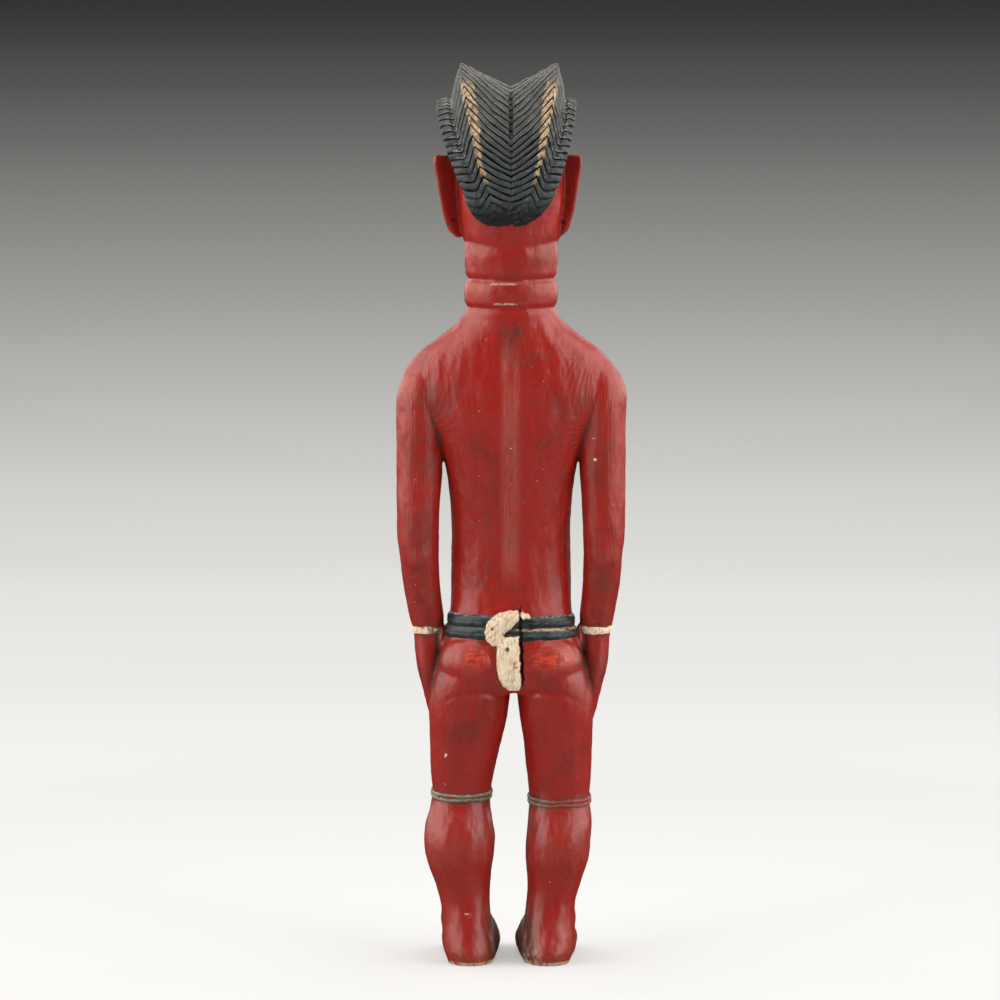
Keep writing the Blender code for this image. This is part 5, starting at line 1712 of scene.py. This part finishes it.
def make_belt_paint():
    """Blue black on the belt cords, rubbed pale along their edges."""
    colours = paints()
    material, board, shader = new_paint("Blue Black Belt Paint")
    place = board.millimetres()
    parts = board.add("ShaderNodeSeparateXYZ", {0: place})
    x, z = parts.outputs["X"], parts.outputs["Z"]
    girth = board.kept("girth")
    clouds = board.noise(board.stretch(place, (0.4, 0.4, 1.6)), 0.35, 4.0, 0.6)
    colour = board.mix(board.ramp(clouds, 0.40, 0.68), full(colours.belt), (0.034, 0.048, 0.054, 1.0))
    grain = board.noise(board.stretch(place, (0.35, 0.35, 1.0)), 1.0, 5.0, 0.68)
    middle = board.times(inside_span(board, girth, -0.10, 0.16, 0.10), board.ramp(grain, 0.42, 0.60))
    colour = board.mix(board.times(middle, 0.7), colour, (0.130, 0.140, 0.140, 1.0))
    green = board.ramp(board.noise(place, 0.5, 4.0, 0.6), 0.52, 0.66)
    colour = board.mix(board.times(green, 0.4), colour, (0.050, 0.060, 0.045, 1.0))
    high = board.ramp(z, BELT_HEIGHTS[0] - 1.4, BELT_HEIGHTS[0])
    upper = board.times(board.times(board.ramp(girth, 0.66, 0.90), high), board.ramp(grain, 0.46, 0.58))
    ends = board.ramp(board.math("ABSOLUTE", x), 10.0, 18.0, 0.25, 1.0)
    colour = board.mix(board.times(board.times(upper, ends), 0.8), colour, (0.46, 0.40, 0.30, 1.0))
    line = board.plus(z, board.times(x, -BELT_FALL / 66.0))
    between = (BELT_HEIGHTS[0] + BELT_HEIGHTS[1] - BELT_FALL) / 2
    lower = board.times(
        inside_span(board, line, between - 0.6, between + 0.6, 0.5), board.ramp(grain, 0.40, 0.54)
    )
    lower = board.times(lower, board.ramp(x, 2.0, -6.0, 0.15, 1.0))
    colour = board.mix(board.times(lower, 0.9), colour, (0.52, 0.42, 0.27, 1.0))
    # dirt and painted shade from the shared group, faint on the cords
    marks = {"Place": place, "Hollow": board.times(girth, 0.4), "Seam": 0.0, "Amount": 0.5}
    grime_and_shade = board.group("Settled Dirt and Shade", marks)["Mask"]
    colour = board.mix(board.times(grime_and_shade, 0.5), colour, full(colours.dirt_and_shade))
    chips = board.group("Small Chips", {"Place": place, "Gap": 4.0, "Share": 0.20, "Size": 0.06})["Mask"]
    colour = board.mix(board.times(chips, 0.7), colour, (0.30, 0.25, 0.18, 1.0))
    crack = board.group("Drying Crack", {"Place": place, "Half Width": 0.75})["Mask"]
    colour = board.mix(crack, colour, (0.004, 0.004, 0.004, 1.0))
    board.feed(shader.inputs["Base Color"], colour)
    board.feed(shader.inputs["Roughness"], board.ramp(clouds, 0.35, 0.70, 0.34, 0.50))
    lay_bump(board, shader, grain, 0.14)
    shader.inputs["Coat Weight"].default_value = 0.10
    shader.inputs["Coat Roughness"].default_value = 0.3
    return material


def make_cream_paint(name, stain):
    """Chalky cream on cloth and bracelets, scraped, pitted, dirty and with painted shade in the hollows and
    on the left band's inner side; stain is red's share.
    """
    colours = paints()
    material, board, shader = new_paint(name)
    place = board.millimetres()
    parts = board.add("ShaderNodeSeparateXYZ", {0: place})
    x = parts.outputs["X"]
    clouds = board.noise(place, 0.28, 4.0, 0.6)
    strokes = board.noise(board.stretch(place, (1.0, 1.0, 0.22)), 1.0, 5.0, 0.68)
    colour = board.mix(board.ramp(clouds, 0.40, 0.68), full(colours.cream), (0.68, 0.50, 0.32, 1.0))
    pale = board.ramp(strokes, 0.50, 0.62)
    colour = board.mix(board.times(pale, 0.6), colour, (0.92, 0.85, 0.70, 1.0))
    scraped = board.ramp(strokes, 0.46, 0.36)
    behind = board.ramp(parts.outputs["Y"], -2.0, 6.0, 0.5, 0.9)
    colour = board.mix(board.times(scraped, behind), colour, (0.30, 0.19, 0.10, 1.0))
    hollow = board.kept("hollow")
    # dirt and painted shade in the hollows of the cloth and bands
    grime_and_shade = board.group(
        "Settled Dirt and Shade", {"Place": place, "Hollow": hollow, "Seam": 0.0, "Amount": 0.8}
    )["Mask"]
    colour = board.mix(board.times(grime_and_shade, 0.80), colour, full(colours.dirt_and_shade))
    specks = board.group("Small Chips", {"Place": place, "Gap": 2.6, "Share": 0.16, "Size": 0.09})["Mask"]
    colour = board.mix(board.times(specks, 0.5), colour, (0.16, 0.10, 0.06, 1.0))
    smear = board.ramp(board.noise(board.stretch(place, (1.0, 1.0, 0.35)), 0.32, 3.0, 0.5), 0.60, 0.68)
    smear = board.times(board.times(smear, board.ramp(x, 30.0, 32.0)), stain)
    colour = board.mix(smear, colour, (0.30, 0.020, 0.012, 1.0))
    # dirt and painted shade on the inner side of the left band, towards the hip
    dark = board.times(board.times(board.ramp(x, 42.5, 38.5), board.ramp(x, 30.0, 32.0)), 0.9)
    colour = board.mix(board.times(dark, board.ramp(clouds, 0.30, 0.55)), colour, (0.075, 0.050, 0.032, 1.0))
    colour = add_spots(board, place, RED_SPOTS, colour, (0.46, 0.018, 0.012, 1.0))
    pits = tuple((px, py, pz, radius * 0.9) for px, py, pz, radius, _ in CLOTH_PITS)
    colour = add_spots(board, place, pits, colour, (0.06, 0.055, 0.045, 1.0), 0.85)
    crack = board.group("Drying Crack", {"Place": place, "Half Width": 0.4})["Mask"]
    colour = board.mix(crack, colour, (0.010, 0.007, 0.005, 1.0))
    board.feed(shader.inputs["Base Color"], colour)
    board.feed(shader.inputs["Roughness"], board.ramp(clouds, 0.35, 0.70, 0.55, 0.78))
    height = board.plus(strokes, board.times(board.noise(place, 2.1, 5.0, 0.7), 0.6))
    lay_bump(board, shader, height, 0.24)
    return material


def make_garter_paint():
    """Grey brown on the garters, with red brushed over parts of them, a painted highlight along their tops
    and painted shade along their undersides.
    """
    colours = paints()
    material, board, shader = new_paint("Garter Paint")
    place = board.millimetres()
    parts = board.add("ShaderNodeSeparateXYZ", {0: place})
    girth = board.kept("girth")
    grain = board.noise(place, 0.9, 5.0, 0.68)
    colour = board.mix(board.ramp(grain, 0.40, 0.62), full(colours.garter), (0.20, 0.155, 0.105, 1.0))
    # painted highlight along the top of each cord
    lit = board.times(board.ramp(girth, 0.1, 0.7), board.ramp(board.noise(place, 0.35, 4.0, 0.6), 0.44, 0.58))
    colour = board.mix(board.times(lit, 0.8), colour, (0.42, 0.33, 0.22, 1.0))
    # painted shade along the underside of each cord
    colour = board.mix(board.ramp(girth, -0.2, -0.9, 0.0, 0.85), colour, full(colours.dirt_and_shade))
    over = board.ramp(board.noise(place, 0.35, 4.0, 0.6), 0.24, 0.40)
    over = board.times(over, board.ramp(parts.outputs["X"], -16.5, -21.0))
    colour = board.mix(board.times(over, 0.88), colour, (0.27, 0.030, 0.020, 1.0))
    board.feed(shader.inputs["Base Color"], colour)
    board.feed(shader.inputs["Roughness"], board.ramp(grain, 0.35, 0.70, 0.42, 0.60))
    lay_bump(board, shader, grain, 0.12)
    return material


class StudioSettings(bpy.types.PropertyGroup):
    """Sizes of the studio, in metres, and the strength of its lights."""

    distance: bpy.props.FloatProperty(
        name="Camera distance", description="From the camera to the figure", default=3.3, unit="LENGTH"
    )
    rise: bpy.props.FloatProperty(
        name="Camera rise",
        description="How far above level the camera looks from",
        default=math.radians(6.0),
        unit="ROTATION"
    )
    lens: bpy.props.FloatProperty(name="Lens", description="Focal length in millimetres", default=237.6)
    floor: bpy.props.FloatProperty(
        name="Floor", description="Radius of the studio floor", default=26.0, unit="LENGTH"
    )
    sides: bpy.props.FloatProperty(
        name="Side lights", description="Strength of the two side lights", default=31.0, unit="POWER"
    )
    front: bpy.props.FloatProperty(
        name="Front lights", description="Strength of the two lights in front", default=12.0, unit="POWER"
    )
    top: bpy.props.FloatProperty(
        name="Top light", description="Strength of the light overhead", default=41.0, unit="POWER"
    )


def studio():
    """Give the studio settings of the scene."""
    return bpy.context.scene.spouse_studio


def aim_at(thing, target):
    """Turn a light or the camera towards a point."""
    thing.rotation_euler = (Vector(target) - thing.location).to_track_quat("-Z", "Y").to_euler()


def add_light(name, place, target, width, height, power):
    """Add a large soft light."""
    lamp = bpy.data.lights.new(name, "AREA")
    lamp.shape = "RECTANGLE"
    lamp.size = width
    lamp.size_y = height
    lamp.energy = power
    lamp.color = LAMP_COLOUR
    thing = bpy.data.objects.new(name, lamp)
    thing.location = place
    bpy.context.scene.collection.objects.link(thing)
    thing.visible_camera = False
    aim_at(thing, target)


def make_floor_paint():
    """Pale paper on the floor, with its light painted in as a glow that falls into shade far from the figure.
    """
    material, board, shader = new_paint("Pale Studio Floor")
    place = board.millimetres()
    away = board.times(
        board.add("ShaderNodeVectorMath", {0: place}, operation="LENGTH").outputs["Value"], MILLIMETRE
    )
    shade = board.add("ShaderNodeValToRGB", {"Fac": board.math("DIVIDE", away, 20.0)})
    stops = shade.color_ramp.elements
    stops[0].position, stops[1].position = 0.0, 1.0
    for stop, (_, tone) in zip(stops, (FLOOR_TONES[0], FLOOR_TONES[-1])):
        stop.color = (tone, tone * 0.99, tone * 0.95, 1.0)
    for at, tone in FLOOR_TONES[1:]:
        stops.new(at / 20.0).color = (tone, tone * 0.99, tone * 0.95, 1.0)
    fibre = board.noise(place, 0.1, 4.0, 0.6)
    paper = board.mix(board.times(fibre, 0.03), (0.45, 0.46, 0.475, 1.0), (0.39, 0.40, 0.41, 1.0))
    near = board.ramp(away, 0.6, 1.9)
    board.feed(shader.inputs["Base Color"], board.mix(near, paper, (0.002, 0.002, 0.002, 1.0)))
    # painted light: the floor glows with these tones on top of the lamps' light
    board.feed(shader.inputs["Emission Color"], shade.outputs[0])
    shader.inputs["Emission Strength"].default_value = 1.0
    shader.inputs["Specular IOR Level"].default_value = 0.0
    board.feed(shader.inputs["Roughness"], board.ramp(fibre, 0.2, 0.8, 0.86, 0.96))
    return material


class FIGURE_OT_carve_body(bpy.types.Operator):
    """Carve the body from head to feet and paint it red"""

    bl_idname = "figure.carve_body"
    bl_label = "Carve Body"

    def execute(self, context):
        skin = bmesh.new()
        for rows in (TRUNK, NECK, HEAD):
            add_trunk(skin, rows)
        for side in (1, -1):
            add_arm(skin, side)
            add_leg(skin, side)
            add_foot(skin, side)
            add_ear(skin, side)
            add_ball(skin, (side * BUTTOCK[0], *BUTTOCK[1:3]), BUTTOCK[3:])
            out = side * (THUMB[0] + arm_lean(side, THUMB[2]))
            add_ball(skin, (out, *THUMB[1:3]), THUMB[3:])
            add_ball(skin, (side * HIP_WEB[0], *HIP_WEB[1:3]), HIP_WEB[3:])
        piece = make_piece("figure_body", skin)
        grow_skin(piece, sizes().skin_cell / unit(), 8)
        carve_body(piece.data)
        thin_out(piece, 194000)
        cut_soles(piece)
        note(piece.data, "hollow", hollows(piece.data, 60, 0.9))
        note_seams(piece.data)
        finish_piece(piece, make_red_paint())
        return {"FINISHED"}


class FIGURE_OT_comb_hair(bpy.types.Operator):
    """Comb the hair into locks and crests and paint it black"""

    bl_idname = "figure.comb_hair"
    bl_label = "Comb Hair"

    def execute(self, context):
        piece = build_hair("figure_hair")
        finish_piece(piece, make_hair_paint())
        return {"FINISHED"}


class FIGURE_OT_tie_belt(bpy.types.Operator):
    """Tie the two cords of the belt round the waist"""

    bl_idname = "figure.tie_belt"
    bl_label = "Tie Belt"

    def execute(self, context):
        thick, proud = sizes().belt_cord / unit(), sizes().belt_proud / unit()
        cords = []
        for seed, height in enumerate(BELT_HEIGHTS):
            path = even_path(belt_path(height), 420)
            cords.append(build_cord("cord", path, thick, proud, 40 + seed * 2, groove=0.35, flat=0.72))
        finish_piece(join_pieces("figure_belt", cords), make_belt_paint())
        return {"FINISHED"}


class FIGURE_OT_hang_cloth(bpy.types.Operator):
    """Hang the knotted cloth from the belt, with its tail behind and its flap in front"""

    bl_idname = "figure.hang_cloth"
    bl_label = "Hang Cloth"

    def execute(self, context):
        skin = bmesh.new()
        add_knot(skin)
        add_plate(skin, TAIL)
        add_plate(skin, FLAP)
        piece = make_piece("figure_cloth", skin)
        grow_skin(piece, sizes().cloth_cell / unit(), 5)
        cloth_relief(piece.data)
        note(piece.data, "hollow", hollows(piece.data, 40, 0.6))
        thin_out(piece, 70000)
        finish_piece(piece, make_cream_paint("Cream Cloth Paint", 0.0))
        return {"FINISHED"}


class FIGURE_OT_add_bracelets(bpy.types.Operator):
    """Carve the bands round the wrists"""

    bl_idname = "figure.add_bracelets"
    bl_label = "Add Bracelets"

    def execute(self, context):
        wide, proud = sizes().bracelet_width / unit(), sizes().bracelet_proud / unit()
        bands = [
            build_cord("band", bracelet_path(side), wide, proud, 50 + side, flat=0.62) for side in (1, -1)
        ]
        piece = join_pieces("figure_bracelets", bands)
        note(piece.data, "hollow", hollows(piece.data, 10, 0.5))
        finish_piece(piece, make_cream_paint("Cream Bracelet Paint", 0.9))
        return {"FINISHED"}


class FIGURE_OT_add_garters(bpy.types.Operator):
    """Wind the twisted garters round the legs below the knees"""

    bl_idname = "figure.add_garters"
    bl_label = "Add Garters"

    def execute(self, context):
        thick, proud = sizes().garter_cord / unit(), sizes().garter_proud / unit()
        cords = []
        for side, heights in ((1, LEFT_GARTER), (-1, RIGHT_GARTER)):
            for seed, height in enumerate(heights):
                path = garter_path(side, height)
                cords.append(build_cord("cord", path, thick, proud, 60 + seed, twist=7.0, around=20))
        finish_piece(join_pieces("figure_garters", cords), make_garter_paint())
        return {"FINISHED"}


class FIGURE_OT_set_stage(bpy.types.Operator):
    """Lay the pale floor, hang the soft lights and stand the camera behind the figure"""

    bl_idname = "figure.set_stage"
    bl_label = "Set Stage"

    def execute(self, context):
        scene = context.scene
        ground = bmesh.new()
        bmesh.ops.create_circle(ground, cap_ends=True, segments=96, radius=studio().floor)
        mesh = bpy.data.meshes.new("studio_floor")
        ground.to_mesh(mesh)
        ground.free()
        floor = bpy.data.objects.new("studio_floor", mesh)
        floor.location.z = -FLOOR_DROP
        scene.collection.objects.link(floor)
        mesh.materials.append(make_floor_paint())
        floor.visible_glossy = False
        for side, name in ((1, "left"), (-1, "right")):
            add_light(
                name + "_light", (side * LIGHT_ASIDE, 0.6, 0.92), (0, 0.6, 0.6), 2.4, 1.6, studio().sides
            )
            add_light(
                name + "_front_light",
                (side * LIGHT_ASIDE, -1.6, 0.85),
                (0, -0.4, 0.3),
                1.8,
                1.5,
                studio().front,
            )
        add_light("top_light", (0, 0.0, 2.1), (0, 0, 0.2), 2.4, 2.4, studio().top)
        world = bpy.data.worlds.new("studio")
        world.use_nodes = True
        world.node_tree.nodes["Background"].inputs["Color"].default_value = ROOM_COLOUR
        world.node_tree.nodes["Background"].inputs["Strength"].default_value = 1.0
        scene.world = world
        scene.view_settings.view_transform = "Standard"
        lens = bpy.data.cameras.new("camera")
        lens.lens = studio().lens
        lens.sensor_width = 36.0
        lens.clip_end = 60.0
        camera = bpy.data.objects.new("camera", lens)
        target = Vector(CAMERA_AIM)
        camera.location = (
            target + Vector((0.0, math.cos(studio().rise), math.sin(studio().rise))) * studio().distance
        )
        aim_at(camera, target)
        scene.collection.objects.link(camera)
        scene.camera = camera
        return {"FINISHED"}


class FIGURE_PT_maker(bpy.types.Panel):
    """Lists the steps that make the figure"""

    bl_idname = "FIGURE_PT_maker"
    bl_label = "Spirit Spouse Figure"
    bl_space_type = "VIEW_3D"
    bl_region_type = "UI"
    bl_category = "Figure"

    def draw(self, context):
        for settings in (
            context.scene.spouse_carving, context.scene.spouse_paint, context.scene.spouse_studio
        ):
            box = self.layout.box()
            for name in settings.bl_rna.properties.keys():
                if name not in {"rna_type", "name"}:
                    box.prop(settings, name)
        for step_of_making in STEPS:
            self.layout.operator(step_of_making.bl_idname)


STEPS = (
    FIGURE_OT_carve_body,
    FIGURE_OT_comb_hair,
    FIGURE_OT_tie_belt,
    FIGURE_OT_hang_cloth,
    FIGURE_OT_add_bracelets,
    FIGURE_OT_add_garters,
    FIGURE_OT_set_stage,
)
CLASSES = (CarvingSettings, PaintSettings, StudioSettings, *STEPS, FIGURE_PT_maker)


def register():
    """Make the settings, the steps and the panel known to Blender."""
    for kind in CLASSES:
        bpy.utils.register_class(kind)
    bpy.types.Scene.spouse_carving = bpy.props.PointerProperty(type=CarvingSettings)
    bpy.types.Scene.spouse_paint = bpy.props.PointerProperty(type=PaintSettings)
    bpy.types.Scene.spouse_studio = bpy.props.PointerProperty(type=StudioSettings)


def unregister():
    """Take them away again."""
    del bpy.types.Scene.spouse_studio
    del bpy.types.Scene.spouse_paint
    del bpy.types.Scene.spouse_carving
    for kind in reversed(CLASSES):
        bpy.utils.unregister_class(kind)


def main():
    """Make the whole figure and its studio."""
    register()
    bpy.ops.figure.carve_body()
    bpy.ops.figure.comb_hair()
    bpy.ops.figure.tie_belt()
    bpy.ops.figure.hang_cloth()
    bpy.ops.figure.add_bracelets()
    bpy.ops.figure.add_garters()
    bpy.ops.figure.set_stage()
    bpy.context.view_layer.update()


if __name__ == "__main__":
    main()
